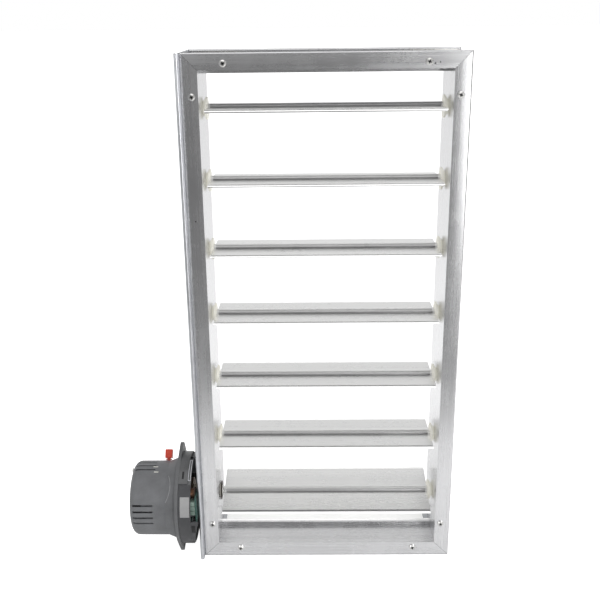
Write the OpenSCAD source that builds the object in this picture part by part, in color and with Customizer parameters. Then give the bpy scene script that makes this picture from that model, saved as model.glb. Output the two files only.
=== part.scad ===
// Motorized duct damper: an aluminium frame with seven linked blades and a
// round actuator on the lowest blade's shaft. X runs along the blades, Y along
// the air path and Z up. The origin is the middle of the front flange's bottom edge.

/* [Frame] */
// Overall width of the frame
frame_w = 305; // [240:1:420]
// Overall height of the frame
frame_h = 610; // [600:1:660]
// Depth of the frame along the air path
frame_d = 85; // [85:1:110]
// Width of the flange that faces the duct
flange_w = 18; // [17:0.5:24]
// Wall of the frame extrusion
wall_t = 1.8; // [1.2:0.1:2.4]
// Width of the lip along a flange's outer edge
lip_w = 7; // [4:0.5:10]
// Joint left open at each mitred corner
mitre_gap = 0.2; // [0.1:0.05:0.5]
// Diameter of the mounting holes in the rear flange
mount_hole_d = 5; // [4:0.5:6]
// Height between the mounting holes
mount_hole_span = 400; // [200:5:440]

/* [Corner brackets and screws] */
// Length of a corner bracket's leg
bracket_leg = 55; // [40:1:70]
// Thickness of a corner bracket
bracket_t = 3; // [2:0.5:5]
// Distance from a corner to its screws
screw_from_corner = 45; // [30:1:48]
// Distance from the frame's outer edge to its screws
screw_edge = 11; // [9:0.5:12]
// Diameter of a frame screw
screw_d = 4; // [3:0.5:4.5]
// Length of a frame screw under its head
screw_len = 8; // [6:0.5:12]
// Diameter of a screw head
head_d = 7.6; // [6:0.1:9]
// Height of a screw head
head_h = 2.2; // [1.5:0.1:3]

/* [Side plate] */
// Thickness of the sheet on the left side
sheet_t = 1.2; // [0.8:0.1:1.5]
// How far the hemmed front edge stands out in front of the frame
hem_out = 9.5; // [6:0.5:14]
// Thickness of the folded hem
hem_w = 4.6; // [3.6:0.1:6]

/* [Blades] */
// Number of blades
blade_count = 7; // [2:1:7]
// Height from one blade's axis to the next
blade_pitch = 80.1; // [78:0.1:81]
// Height of the lowest blade's axis
low_axis_z = 68.5; // [68:0.5:76]
// Depth of the blade axes behind the front face
axis_y = 42; // [41.5:0.5:46]
// Gap between a blade's end cap and its bushing
end_gap = 0.3; // [0.3:0.1:1.5]
// Depth of a blade's metal from edge to edge
blade_chord = 72; // [66:0.5:74]
// Thickness of a blade's plate
blade_t = 1.5; // [1:0.1:2]
// Outer diameter of the tube along a blade
tube_d = 11; // [10.5:0.1:12]
// Width of the bead along a blade's edge
bead_w = 3.2; // [2.8:0.1:4]
// Height of the bead along a blade's edge
bead_h = 3.6; // [3.2:0.1:4]
// How far a blade's seal stands out of its bead
seal_out = 5; // [3:0.1:5.5]
// Thickness of a blade's seal
seal_t = 1; // [0.8:0.05:1.2]
// Tilt of the open blades, rear edge up
open_tilt = -2; // [-4:0.5:4]
// Tilt of the open drive blade, rear edge up
drive_open_tilt = 13; // [8:0.5:16]
// Tilt of every blade when the damper is closed
closed_tilt = 88; // [86:0.5:88]

/* [Blade ends] */
// Diameter of a blade's shafts
shaft_d = 8; // [7:0.1:8.5]
// Length of shaft held in a blade's tube
shaft_in = 25; // [15:1:40]
// Diameter of the plastic cap on a blade's end
cap_d = 25; // [18:0.5:30]
// Thickness of the plastic cap
cap_t = 3.6; // [3:0.1:5]
// Outer diameter of a bushing's barrel
bush_d = 12; // [11:0.1:14]
// Diameter of a bushing's inner flange
bush_flange_d = 16; // [15:0.5:20]
// Thickness of a bushing's inner flange
bush_flange_t = 1; // [0.6:0.1:1.2]

/* [Linkage] */
// Distance from a blade's axis to its crank pin
crank_r = 16; // [14:0.5:18]
// Thickness of a crank arm
crank_t = 3; // [2:0.1:3.5]
// Outer diameter of a crank's hub
crank_hub_d = 12.4; // [12:0.1:13]
// Length of a crank's hub
crank_hub_len = 7; // [5:0.5:8]
// Diameter of a crank pin
pin_d = 4; // [3:0.1:4.5]
// Width of the link bar
link_w = 9; // [8:0.1:10]
// Thickness of the link bar
link_t = 2; // [1.5:0.1:2.5]

/* [Actuator place] */
// Depth of the actuator's centre behind the front face
act_y = 31; // [31:0.5:34]
// Height of the actuator's centre
act_z = 65; // [65:0.5:70]
// Gap between the side plate and the actuator's base
act_standoff = 11.2; // [10:0.1:18]

/* [Actuator base] */
// Outer radius of the base
base_r = 56; // [56:0.5:58]
// Depth of the cup on the side of the frame
cup_len = 16; // [12:0.5:20]
// Wall of the base
base_wall = 2.5; // [1.5:0.1:3]
// Thickness of the base's floor and flange
floor_t = 3; // [2:0.1:4]
// Distance from the centre to a mounting ear's hole
ear_at = 60; // [60:0.5:64]
// Radius of an ear
ear_r = 7; // [6:0.5:8]
// Radius of the upper ear
top_ear_r = 10; // [8:0.5:11]
// Thickness of the flange and its ears
ear_t = 4; // [3.5:0.5:6]
// How far the flange stands out all round the base
rim_out = 1.5; // [1:0.1:3]
// Lean of the ears from upright, top towards the rear
ear_lean = 19; // [0:1:30]
// Diameter of the hole in an ear
ear_hole_d = 4.5; // [3.5:0.1:6]

/* [Actuator cover] */
// Outer radius of the cover
cover_r = 46; // [46:0.5:48]
// Length of the cover
cover_len = 58; // [56:0.5:70]
// Wall of the cover
cover_wall = 2.2; // [1.6:0.1:2.4]
// Radius of the rounding at the cover's far end
cover_round = 9; // [5:0.5:12]
// Radius of the skirt at the cover's rim
skirt_r = 50; // [49:0.5:53]
// Length of the skirt
skirt_len = 13; // [8:0.5:14]
// Number of vent slots in each group
vent_count = 4; // [2:1:4]
// Angle from one vent slot to the next
vent_step = 10; // [8:0.5:11]
// Length of a vent slot
vent_len = 25; // [15:0.5:30]
// Width of a vent slot
vent_w = 2.3; // [1.5:0.1:3]

/* [Release lever] */
// Width of the lever's knob along the actuator
knob_w = 9; // [7:0.5:11]
// Height of the knob
knob_h = 11; // [8:0.5:14]
// Thickness of the knob around the actuator
knob_t = 8; // [6:0.5:10]
// Gap between the cover and the knob
knob_lift = 3; // [2:0.5:6]
// Travel of the lever around the cover
lever_travel = 35; // [20:1:38]

/* [Gears and motor] */
// Gear module
gear_m = 1; // [0.9:0.05:1]
// Teeth of the drive gear, counted right round
drive_teeth = 60; // [60:1:60]
// Teeth of the idler's small gear
idler_small_teeth = 12; // [12:1:12]
// Teeth of the idler's large gear
idler_large_teeth = 24; // [24:1:24]
// Teeth of the motor's pinion
motor_teeth = 16; // [16:1:16]
// Width of a gear's face
gear_face = 4; // [3:0.1:4.2]
// Outer diameter of the drive gear's hub
hub_d = 16; // [14:0.1:17]
// Radius of the motor's can
motor_r = 19; // [14:0.5:19]
// Length of the motor's can
motor_len = 32; // [20:0.5:34]

/* [Hidden] */

// Fits and small clearances
overrun = 1;
run_fit = 0.05;
hold_fit = 0.03;
hole_fit = 0.1;
seat = 0.1;
free_gap = 0.4;
moving_gap = 0.5;
$fn = 48;

// Places of the frame
wall_x = frame_w / 2 - flange_w;
plate_x = frame_w / 2 + seat;
plate_out_x = plate_x + sheet_t;
hem_bend_y = hem_w / 2 - hem_out;
flange_mid = flange_w / 2;
hole_d = screw_d + 2 * hole_fit;
plate_screw_zs = [for (k = [0:4]) frame_h * (1 / 2 + (k - 2) * 0.21)];

// Places of the blades
blade_len = 2 * (wall_x - bush_flange_t - cap_t - end_gap - 2 * seat);
half_chord = blade_chord / 2;
tip_r = half_chord + seal_out;
seal_grip = bead_w - blade_t / 2;
seal_off = blade_t / 10;
rear_bead_h = blade_t + seal_off + seal_t + hole_fit;
axis_z = [for (i = [1:blade_count]) low_axis_z + (blade_count - i) * blade_pitch];
tilts = [for (i = [1:blade_count]) i == blade_count ? drive_open_tilt : open_tilt];

// Places of the linkage, outside the right wall
crank_gap = 1.4;
bush_lip_t = 1.2;
bush_lip_out = 1;
bush_lip_d = bush_d + 2 * bush_lip_out;
bush_end = wall_x + wall_t + hole_fit + bush_lip_t;
crank_x = bush_end + crank_gap;
link_x = crank_x + crank_t + free_gap;
pin_head_x = link_x + link_t + free_gap;
pin_head_t = 1;
pin_head_d = 1.6 * pin_d;
blade_swing = closed_tilt - open_tilt;
drive_swing = closed_tilt - drive_open_tilt;
crank_rest = -blade_swing / 2;
drive_crank_rest = -drive_swing / 2;
drive_crank_r = crank_r * sin(blade_swing / 2) / sin(drive_swing / 2);
link_y = axis_y + crank_r * cos(crank_rest);
link_drop = crank_r * sin(-crank_rest);
slot_near = drive_crank_r - crank_r;
slot_far = drive_crank_r * cos(drive_crank_rest) - crank_r * cos(crank_rest);
slot_mid = (slot_near + slot_far) / 2;
pin_slack = 0.3;
slot_half = (slot_far - slot_near) / 2 + pin_d / 2 + pin_slack;
set_screw_d = 3;
set_screw_x = crank_x + (crank_t + crank_hub_len) / 2;
right_shaft_end = crank_x + crank_hub_len + overrun;

// Places of the stops
stop_w = 6;
sill_h = 5;
head_stop_h = 5;
stop_wall = 1.2;
fin_t = 1;
fin_root = stop_wall * 2 / 3;
fin_h = 3 * fin_root;
closed_lean = tip_r * cos(closed_tilt);
seal_back = seal_off + seal_t;
fin_y = axis_y - closed_lean + seal_back + moving_gap;
sill_y = fin_y + fin_t + stop_wall - stop_w;
head_stop_y = axis_y + closed_lean - seal_back - moving_gap - stop_w;

// Places of the actuator
drive_y = axis_y;
drive_z = low_axis_z;
base_x = -(plate_out_x + act_standoff);
floor_x = base_x - cup_len;
cover_x = floor_x - floor_t;
cover_end_x = cover_x - cover_len;
hub_gap = 1.5;
hub_reach = 4.2;
hub_end_x = -(plate_out_x + hub_reach);
gear_x = cover_x - hub_gap;
gear2_x = gear_x - gear_face - hub_gap;
gear_plate_t = 1.5;
gear_plate_x = gear2_x - gear_face - hub_gap - gear_plate_t;
idler_angle = 200;
motor_angle = 60;
web_angle = 4;
drive_pr = gear_m * drive_teeth / 2;
small_pr = gear_m * idler_small_teeth / 2;
large_pr = gear_m * idler_large_teeth / 2;
motor_pr = gear_m * motor_teeth / 2;
idler_y = drive_y + (drive_pr + small_pr) * cos(idler_angle);
idler_z = drive_z + (drive_pr + small_pr) * sin(idler_angle);
motor_y = idler_y + (large_pr + motor_pr) * cos(motor_angle);
motor_z = idler_z + (large_pr + motor_pr) * sin(motor_angle);
post_d = 4;
motor_shaft_d = 3;
cover_boss_r = 3.2;
cover_boss_at = cover_r - 2 * cover_wall - cover_boss_r;
cover_screw_angles = [90, -75, 200];
cover_screw_d = 3;
lever_angle = 125;
lever_in = 17.5;
lever_x = cover_x - lever_in;
stem_w = 4;
stem_t = 4;
shoe_t = 2.2;
shoe_w = 8;
shoe_half_angle = 10;
foot_t = 1;
spring_w = 7;
spring_t = 0.8;
spring_in = hub_d / 2 + free_gap;
spring_out = 18;
spring_turns = 4;
spring_x = floor_x + cup_len / 3 + overrun;
board_t = 1.6;
board_x = base_x - 3 * board_t;
board_w = 56;
board_h = 17;
board_gap = 3.5;
board_y = [act_y - board_w / 2, act_y + board_w / 2];
board_z = [drive_z - spring_out - board_gap - board_h, drive_z - spring_out - board_gap];
board_posts = [for (s = [-1, 1]) [act_y + s * (board_w / 2 - post_d), board_z[0] + board_h / 2]];
bracket_run = 15;
bracket_h = 20;
bracket_up = 27;
bracket_hole_r = 1.6;
bracket_foot = 11;
bracket_t2 = 1.5;
bracket_y = [act_y, act_y + bracket_run];
bracket_z = [act_z + bracket_up, act_z + bracket_up + bracket_h];
plate_posts = [
    [motor_y - motor_r * 1.15, motor_z + motor_r * 0.25],
    [motor_y + motor_r * 0.05, motor_z + motor_r * 1.3],
    [act_y + cover_r * 0.35, act_z - cover_r * 0.72]
];
block_h = 7;
block_t = 2.9;

// A flat outline in Y and Z, drawn out along X about the middle
module along_x(len) {
    rotate([90, 0, 90])
        linear_extrude(height = len, center = true)
            children();
}

// A flat outline in Y and Z, drawn out along X from x to x + len
module slab_x(x, len) {
    translate([x, 0, 0])
        rotate([90, 0, 90])
            linear_extrude(height = len)
                children();
}

// A round bar along X from x to x + len, at a depth and height
module bar_x(x, len, d, y, z) {
    slab_x(x, len) translate([y, z]) circle(d = d);
}

// A form whose own Z axis is turned to point along -X at the actuator's centre
module at_actuator(x) {
    translate([x, act_y, act_z])
        rotate([0, -90, 0])
            children();
}

// A blade's own place and tilt
module at_blade(i) {
    translate([0, axis_y, axis_z[i - 1]])
        rotate([tilts[i - 1], 0, 0])
            children();
}

// Outline of the frame extrusion: depth across, and height from its outer edge up
module frame_outline() {
    square([wall_t, flange_w]);
    translate([frame_d - wall_t, 0])
        square([wall_t, flange_w]);
    translate([0, flange_w - wall_t])
        square([frame_d, wall_t]);
    square([lip_w, wall_t]);
    translate([frame_d - lip_w, 0])
        square([lip_w, wall_t]);
}

// The mitred length that a frame member of a given length is cut to, seen from the front
module mitre_outline(len) {
    cut = mitre_gap / 2;
    polygon([
        [-len / 2 + cut, 0], [len / 2 - cut, 0],
        [len / 2 - cut - flange_w, flange_w], [-len / 2 + cut + flange_w, flange_w]
    ]);
}

// One frame member, lying along X with its outer edge down
module member(len) {
    intersection() {
        along_x(len) frame_outline();
        translate([0, frame_d + overrun, 0])
            rotate([90, 0, 0])
                linear_extrude(height = frame_d + 2 * overrun)
                    mitre_outline(len);
    }
}

// Screw holes along one member, through both flanges
module member_holes(len) {
    for (s = [-1, 1])
        translate([s * (len / 2 - screw_from_corner), -overrun, screw_edge])
            rotate([-90, 0, 0])
                cylinder(h = frame_d + 2 * overrun, d = hole_d);
}

// Places one member's form on each side: 0 bottom, 1 right, 2 top, 3 left
module on_side(side) {
    middle = [0, 0, frame_h / 2];
    reach = side % 2 == 0 ? frame_h / 2 : frame_w / 2;
    translate(middle)
        rotate([0, -90 * side, 0])
            translate([0, 0, -reach])
                children();
}

module frame_rail(side) {
    color("gainsboro")
        on_side(side)
            difference() {
                member(frame_w);
                member_holes(frame_w);
            }
}

module bushing_holes() {
    for (z = axis_z)
        bar_x(-frame_w / 2 + flange_w - wall_t - 2 * overrun, frame_w - 2 * flange_w
            + 2 * wall_t + 4 * overrun, bush_d + 2 * hole_fit, axis_y, z);
}

module mount_holes() {
    for (s = [-1, 1], t = [-1, 1])
        translate([s * (frame_w / 2 - flange_mid), frame_d - wall_t - overrun,
            frame_h / 2 + t * mount_hole_span / 2])
            rotate([-90, 0, 0])
                cylinder(h = wall_t + 2 * overrun, d = mount_hole_d);
}

module frame_jamb(side) {
    color("gainsboro")
        difference() {
            on_side(side)
                difference() {
                    member(frame_h);
                    member_holes(frame_h);
                }
            bushing_holes();
            mount_holes();
            if (side == 3) plate_screw_holes();
        }
}

// Folded hem along the side plate's front edge, seen from above: X across and Y along
module hem_outline() {
    translate([-plate_x - hem_w, hem_bend_y])
        square([sheet_t, hem_out - hem_w / 2 - 2 * sheet_t]);
    translate([-plate_x - hem_w / 2, hem_bend_y])
        difference() {
            circle(d = hem_w);
            circle(d = hem_w - 2 * sheet_t);
            translate([-hem_w, 0])
                square([2 * hem_w, hem_w]);
        }
}

module plate_screw_spots() {
    for (z = plate_screw_zs, y = [lip_w / 2 + 0.5 * wall_t, frame_d - lip_w / 2 - 0.5 * wall_t])
        translate([0, y, z])
            children();
}

module plate_screw_holes() {
    plate_screw_spots()
        translate([-plate_out_x - overrun, 0, 0])
            rotate([0, 90, 0])
                cylinder(h = sheet_t + wall_t + 3 * overrun, d = cover_screw_d + 2 * hole_fit);
}

module side_plate() {
    color("lightgray")
        difference() {
            translate([-plate_out_x, hem_bend_y, 0])
                cube([sheet_t, frame_d - hem_bend_y, frame_h]);
            bar_x(-plate_out_x - overrun, sheet_t + 2 * overrun, hub_d, drive_y, drive_z);
            plate_screw_holes();
            bracket_holes();
        }
}

module side_hem() {
    color("lightgray")
        linear_extrude(height = frame_h)
            hem_outline();
}

// Bracket that lies behind a flange in one corner, at the bottom left, in X and Z
module bracket_outline() {
    inner = wall_t + 3 * hole_fit;
    leg_w = flange_w - 2 * inner;
    square_at = [-frame_w / 2 + inner, inner];
    translate(square_at)
        square([bracket_leg, leg_w]);
    translate(square_at)
        square([leg_w, bracket_leg]);
}

module corner_bracket() {
    difference() {
        rotate([90, 0, 0])
            linear_extrude(height = bracket_t)
                bracket_outline();
        for (p = [[screw_from_corner, screw_edge], [screw_edge, screw_from_corner]])
            translate([-frame_w / 2 + p[0], overrun, p[1]])
                rotate([90, 0, 0])
                    cylinder(h = bracket_t + 2 * overrun, d = hole_d);
    }
}

// Copies a form at the bottom left corner to the frame's four corners
module four_corners() {
    for (flip = [0, 1], turn = [0, 1])
        translate([0, 0, turn * frame_h])
            mirror([0, 0, turn])
                mirror([flip, 0, 0])
                    children();
}

module corner_brackets() {
    color("silver")
        four_corners() {
            translate([0, wall_t + seat + bracket_t, 0]) corner_bracket();
            translate([0, frame_d - wall_t - seat, 0]) corner_bracket();
        }
}

// Pan head screw with a cross recess: its head's seat is at the origin, its shank runs along +Y
module pan_screw(d, len, head, height) {
    slot_w = head / 5;
    slot_l = head * 0.55;
    difference() {
        union() {
            rotate([-90, 0, 0])
                cylinder(h = len, d = d);
            rotate([90, 0, 0])
                cylinder(h = height * 0.4, d = head);
            translate([0, -height * 0.4, 0])
                rotate([90, 0, 0])
                    cylinder(h = height * 0.6, d1 = head, d2 = head * 0.62);
        }
        for (a = [0, 90])
            translate([0, -height, 0])
                rotate([0, a + 20, 0])
                    cube([slot_l, height * 1.5, slot_w], center = true);
    }
}

module corner_screws() {
    for (p = [[screw_from_corner, screw_edge], [screw_edge, screw_from_corner]])
        translate([-frame_w / 2 + p[0], 0, p[1]])
            children();
}

module frame_screws() {
    color("whitesmoke")
        four_corners()
            corner_screws() {
                translate([0, -seat, 0])
                    pan_screw(screw_d, screw_len, head_d, head_h);
                translate([0, frame_d + seat, 0])
                    mirror([0, 1, 0])
                        pan_screw(screw_d, screw_len, head_d, head_h);
            }
    color("whitesmoke")
        plate_screw_spots()
            translate([-plate_out_x - seat, 0, 0])
                rotate([0, 0, -90])
                    pan_screw(cover_screw_d, wall_t + sheet_t + 2 * seat, 2 * cover_screw_d,
                        cover_screw_d / 2);
}

// Hollow stop bar: its open side lies on the frame's wall
module stop_outline(w, h) {
    difference() {
        square([w, h]);
        translate([stop_wall, -overrun])
            square([w - 2 * stop_wall, h - stop_wall + overrun]);
    }
}

module bottom_stop() {
    color("silver")
        difference() {
            along_x(2 * (wall_x - seat))
                translate([sill_y, flange_w + seat])
                    stop_outline(stop_w, sill_h);
            translate([-frame_w / 2, fin_y - hole_fit, flange_w + seat + sill_h - fin_root])
                cube([frame_w, fin_t + 2 * hole_fit, sill_h]);
        }
}

module top_stop() {
    color("silver")
        along_x(2 * (wall_x - seat))
            translate([head_stop_y, frame_h - flange_w - seat])
                mirror([0, 1])
                    stop_outline(stop_w, head_stop_h);
}

module sill_seal() {
    color("white")
        translate([-wall_x + seat, fin_y, flange_w + seat + sill_h - fin_root + hole_fit])
            cube([2 * (wall_x - seat), fin_t, fin_h]);
}

// Bushing in the right wall, its axis along X
module bushing() {
    x0 = wall_x - bush_flange_t - seat;
    difference() {
        union() {
            bar_x(x0, bush_flange_t, bush_flange_d, 0, 0);
            bar_x(x0, bush_end - x0, bush_d, 0, 0);
            bar_x(bush_end - bush_lip_t, bush_lip_t, bush_lip_d, 0, 0);
        }
        bar_x(x0 - overrun, bush_end - x0 + 2 * overrun, shaft_d + 2 * run_fit, 0, 0);
    }
}

module bushings() {
    color("ivory")
        for (z = axis_z, flip = [0, 1])
            translate([0, axis_y, z])
                mirror([flip, 0, 0])
                    bushing();
}

// Half of a blade's outline, from the tube to its front edge
module blade_half() {
    translate([-half_chord, -blade_t / 2])
        square([half_chord, blade_t]);
    translate([-half_chord, blade_t / 2 - bead_h])
        square([bead_w, bead_h]);
}

// The other half, which grows thicker up to its lower bead
module tapered_half() {
    low = blade_t / 2 - rear_bead_h;
    polygon([[0, blade_t / 2], [-half_chord, blade_t / 2], [-half_chord, low],
        [-half_chord + bead_w, low], [-tube_d / 4, -blade_t / 2], [0, -blade_t / 2]]);
}

module seal_slot(fit) {
    translate([-half_chord - overrun, -seal_off - seal_t - fit])
        square([seal_grip + overrun + fit, seal_t + 2 * fit]);
}

module blade_outline() {
    difference() {
        union() {
            circle(d = tube_d);
            blade_half();
            rotate(180) tapered_half();
        }
        circle(d = shaft_d + 2 * hold_fit);
        for (a = [0, 180])
            rotate(a) seal_slot(hole_fit);
    }
}

module blade(i) {
    color("gainsboro")
        at_blade(i)
            along_x(blade_len)
                blade_outline();
}

module seals(i) {
    color("white")
        at_blade(i)
            along_x(blade_len - 2 * seat)
                for (a = [0, 180])
                    rotate(a)
                        translate([-tip_r, -seal_off - seal_t])
                            square([seal_out + seal_grip, seal_t]);
}

// The driven blade has no cap at the actuator's end, where its shaft stands free
module end_caps(i) {
    color("ivory")
        at_blade(i)
            for (flip = i < blade_count ? [0, 1] : [0])
                mirror([flip, 0, 0])
                    difference() {
                        union() {
                            bar_x(blade_len / 2 + seat, cap_t * 0.6, cap_d, 0, 0);
                            bar_x(blade_len / 2 + seat, cap_t, cap_d * 0.8, 0, 0);
                        }
                        bar_x(blade_len / 2, cap_t + 2 * overrun, shaft_d + 2 * hold_fit, 0, 0);
                    }
}

// Two short shafts, held in the ends of a blade's tube
module shafts(i) {
    color("silver")
        at_blade(i) {
            bar_x(blade_len / 2 - shaft_in, right_shaft_end - blade_len / 2 + shaft_in,
                shaft_d, 0, 0);
            bar_x(-bush_end - overrun, bush_end + overrun - blade_len / 2 + shaft_in,
                shaft_d, 0, 0);
        }
}

module drive_shaft() {
    color("silver")
        at_blade(blade_count) {
            bar_x(blade_len / 2 - shaft_in, right_shaft_end - blade_len / 2 + shaft_in,
                shaft_d, 0, 0);
            bar_x(gear_x - gear_face - overrun, -gear_x + gear_face + overrun - blade_len / 2
                + shaft_in, shaft_d, 0, 0);
        }
}

// Crank arm with its pin and set screw, for a given radius and rest angle
module crank(z, r, angle) {
    color("silver")
        translate([0, axis_y, z])
            rotate([angle, 0, 0]) {
                difference() {
                    union() {
                        bar_x(crank_x, crank_hub_len, crank_hub_d, 0, 0);
                        slab_x(crank_x, crank_t) {
                            translate([r, 0]) circle(r = pin_d);
                            polygon([
                                [0, -crank_hub_d / 2], [r, -pin_d], [r, pin_d],
                                [0, crank_hub_d / 2]
                            ]);
                        }
                    }
                    bar_x(crank_x - overrun, crank_hub_len + 2 * overrun,
                        shaft_d + 2 * hold_fit, 0, 0);
                    bar_x(crank_x - overrun, crank_t + 2 * overrun, pin_d + 2 * hold_fit, r, 0);
                    translate([set_screw_x, -crank_hub_d, 0])
                        rotate([-90, 0, 0])
                            cylinder(h = crank_hub_d, d = set_screw_d + 2 * hold_fit);
                }
                bar_x(crank_x, pin_head_x - crank_x, pin_d, r, 0);
                bar_x(pin_head_x, pin_head_t, pin_head_d, r, 0);
                translate([set_screw_x, -crank_hub_d / 2 - overrun / 2, 0])
                    rotate([-90, 0, 0])
                        cylinder(h = (crank_hub_d - shaft_d) / 2 + overrun / 2 - hole_fit,
                            d = set_screw_d);
            }
}

module link_bar() {
    low_z = axis_z[blade_count - 1] - link_drop;
    top_z = axis_z[0] - link_drop;
    lug_w = link_w / 2 + slot_mid + slot_half + pin_d * 0.9;
    lug_h = pin_d * 3;
    color("silver")
        difference() {
            slab_x(link_x, link_t) {
                translate([link_y - link_w / 2, low_z - lug_h / 2])
                    square([link_w, top_z - low_z + lug_h / 2]);
                translate([link_y, top_z])
                    circle(d = link_w);
                translate([link_y - link_w / 2, low_z - lug_h / 2])
                    square([lug_w, lug_h]);
            }
            for (i = [1:blade_count - 1])
                bar_x(link_x - overrun, link_t + 2 * overrun, pin_d + 2 * hole_fit, link_y,
                    axis_z[i - 1] - link_drop);
            slab_x(link_x - overrun, link_t + 2 * overrun)
                translate([link_y + slot_mid - slot_half, low_z - pin_d / 2 - pin_slack])
                    square([2 * slot_half, pin_d + 2 * pin_slack]);
        }
}

// Outline of the base's flange on its own plane, drawn out to an ear on each side
module flange_outline() {
    hull() {
        circle(r = base_r + rim_out, $fn = 96);
        for (s = [0, 1])
            rotate(s * 180 + ear_lean)
                translate([ear_at, 0])
                    circle(r = s == 0 ? top_ear_r : ear_r);
    }
}

module bracket_holes() {
    bar_x(-plate_out_x - overrun, sheet_t + 2 * overrun, 2 * bracket_hole_r,
        bracket_y[1] + bracket_foot / 2, (bracket_z[0] + bracket_z[1]) / 2);
}

module actuator_base() {
    color("dimgray")
        difference() {
            union() {
                at_actuator(base_x)
                    difference() {
                        cylinder(h = cup_len + floor_t, r = base_r, $fn = 96);
                        translate([0, 0, -overrun])
                            cylinder(h = cup_len + overrun, r = base_r - base_wall, $fn = 96);
                    }
                at_actuator(cover_x + ear_t)
                    difference() {
                        linear_extrude(height = ear_t)
                            flange_outline();
                        translate([0, 0, -overrun])
                            cylinder(h = ear_t + 2 * overrun, r = base_r - base_wall / 2,
                                $fn = 96);
                    }
                bar_x(floor_x - floor_t, floor_t + cup_len / 3, hub_d + 2 * base_wall, drive_y,
                    drive_z);
                for (p = board_posts)
                    bar_x(floor_x - overrun, board_x - floor_x - seat + overrun, post_d, p[0], p[1]);
                bar_x(floor_x - overrun, spring_x + spring_w - floor_x, post_d,
                    drive_y + spring_out + post_d / 2 + free_gap, drive_z);
            }
            bar_x(floor_x - floor_t - overrun, floor_t + cup_len, hub_d + 2 * run_fit,
                drive_y, drive_z);
            for (s = [0, 1])
                at_actuator(cover_x + ear_t)
                    rotate(s * 180 + ear_lean)
                        translate([ear_at, 0, -overrun])
                            cylinder(h = ear_t + 2 * overrun, d = ear_hole_d);
            for (a = cover_screw_angles)
                at_actuator(floor_x + overrun)
                    rotate(a - 90)
                        translate([cover_boss_at, 0, 0])
                            cylinder(h = floor_t + 2 * overrun, d = cover_screw_d - 2 * hole_fit);
        }
}

// Profile of the cover's outside or inside, radius across and height up
module cover_profile(inset) {
    r = cover_r - inset;
    rim = skirt_r - inset;
    top = cover_len - inset;
    bend = cover_round - inset;
    difference() {
        polygon([
            [0, -inset * overrun], [rim, -inset * overrun], [rim, skirt_len / 4],
            [r, skirt_len], [r, top], [0, top]
        ]);
        translate([r - bend, top - bend])
            difference() {
                square([bend + overrun, bend + overrun]);
                circle(r = bend, $fn = 64);
            }
    }
}

module cover_vents() {
    for (g = [3, 93, 183, 273], k = [0:vent_count - 1])
        rotate(g - 90 + (k - (vent_count - 1) / 2) * vent_step)
            translate([cover_r - 1.5 * cover_wall, -vent_w / 2,
                cover_len - vent_len - cover_round / 2])
                cube([6 * cover_wall, vent_w, vent_len]);
}

// The lever's slot and its room around the cover, from its rest angle to its far end
module lever_slot() {
    margin = atan((stem_t / 2 + free_gap) / (cover_r - cover_wall));
    start = lever_angle - 90 - margin;
    end = lever_angle - 90 + lever_travel + margin;
    reach = 2 * cover_r;
    slot_h = stem_w + 2 * free_gap;
    intersection() {
        difference() {
            cylinder(h = slot_h, r = cover_r + cover_wall, center = true, $fn = 96);
            cylinder(h = slot_h + overrun, r = cover_r - 2 * cover_wall, center = true, $fn = 96);
        }
        linear_extrude(height = 2 * slot_h, center = true)
            polygon([
                [0, 0], [reach * cos(start), reach * sin(start)],
                [reach * cos(end), reach * sin(end)]
            ]);
    }
}

module actuator_cover() {
    color("dimgray")
        difference() {
            at_actuator(cover_x)
                difference() {
                    union() {
                        difference() {
                            rotate_extrude($fn = 96) cover_profile(0);
                            rotate_extrude($fn = 96) cover_profile(cover_wall);
                        }
                        for (a = cover_screw_angles)
                            rotate(a - 90)
                                translate([cover_boss_at, 0, seat])
                                    cylinder(h = cover_len - cover_wall, r = cover_boss_r);
                    }
                    for (a = cover_screw_angles)
                        rotate(a - 90)
                            translate([cover_boss_at, 0, -overrun])
                                cylinder(h = cover_len + 2 * overrun,
                                    d = cover_screw_d + 2 * hole_fit);
                    cover_vents();
                }
            at_actuator(lever_x)
                lever_slot();
        }
}

module cover_screws() {
    color("silver")
        for (a = cover_screw_angles)
            at_actuator(cover_end_x - seat)
                rotate(a - 90)
                    translate([cover_boss_at, 0, 0])
                        rotate([-90, 0, 0])
                            pan_screw(cover_screw_d - 3 * hole_fit, cover_len + floor_t / 2,
                                2 * cover_screw_d, cover_screw_d / 2);
}

module release_lever() {
    shoe_r = cover_r - cover_wall - free_gap;
    color("red")
        at_actuator(lever_x)
            rotate(lever_angle - 90) {
                intersection() {
                    difference() {
                        cylinder(h = shoe_w, r = shoe_r, center = true, $fn = 96);
                        cylinder(h = shoe_w + overrun, r = shoe_r - shoe_t, center = true,
                            $fn = 96);
                    }
                    linear_extrude(height = 2 * shoe_w, center = true)
                        polygon([
                            [0, 0],
                            [2 * cover_r, -2 * cover_r * tan(shoe_half_angle)],
                            [2 * cover_r, 2 * cover_r * tan(shoe_half_angle)]
                        ]);
                }
                translate([shoe_r - shoe_t / 2, -stem_t / 2, -stem_w / 2])
                    cube([cover_r + knob_lift + overrun - shoe_r + shoe_t / 2, stem_t, stem_w]);
                translate([cover_r + 2 * free_gap, -knob_t * 0.4, -knob_w * 0.4])
                    cube([foot_t, knob_t * 0.8, knob_w * 0.8]);
                translate([cover_r + knob_lift, -knob_t / 2, -knob_w / 2])
                    cube([knob_h, knob_t, knob_w]);
            }
}

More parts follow.
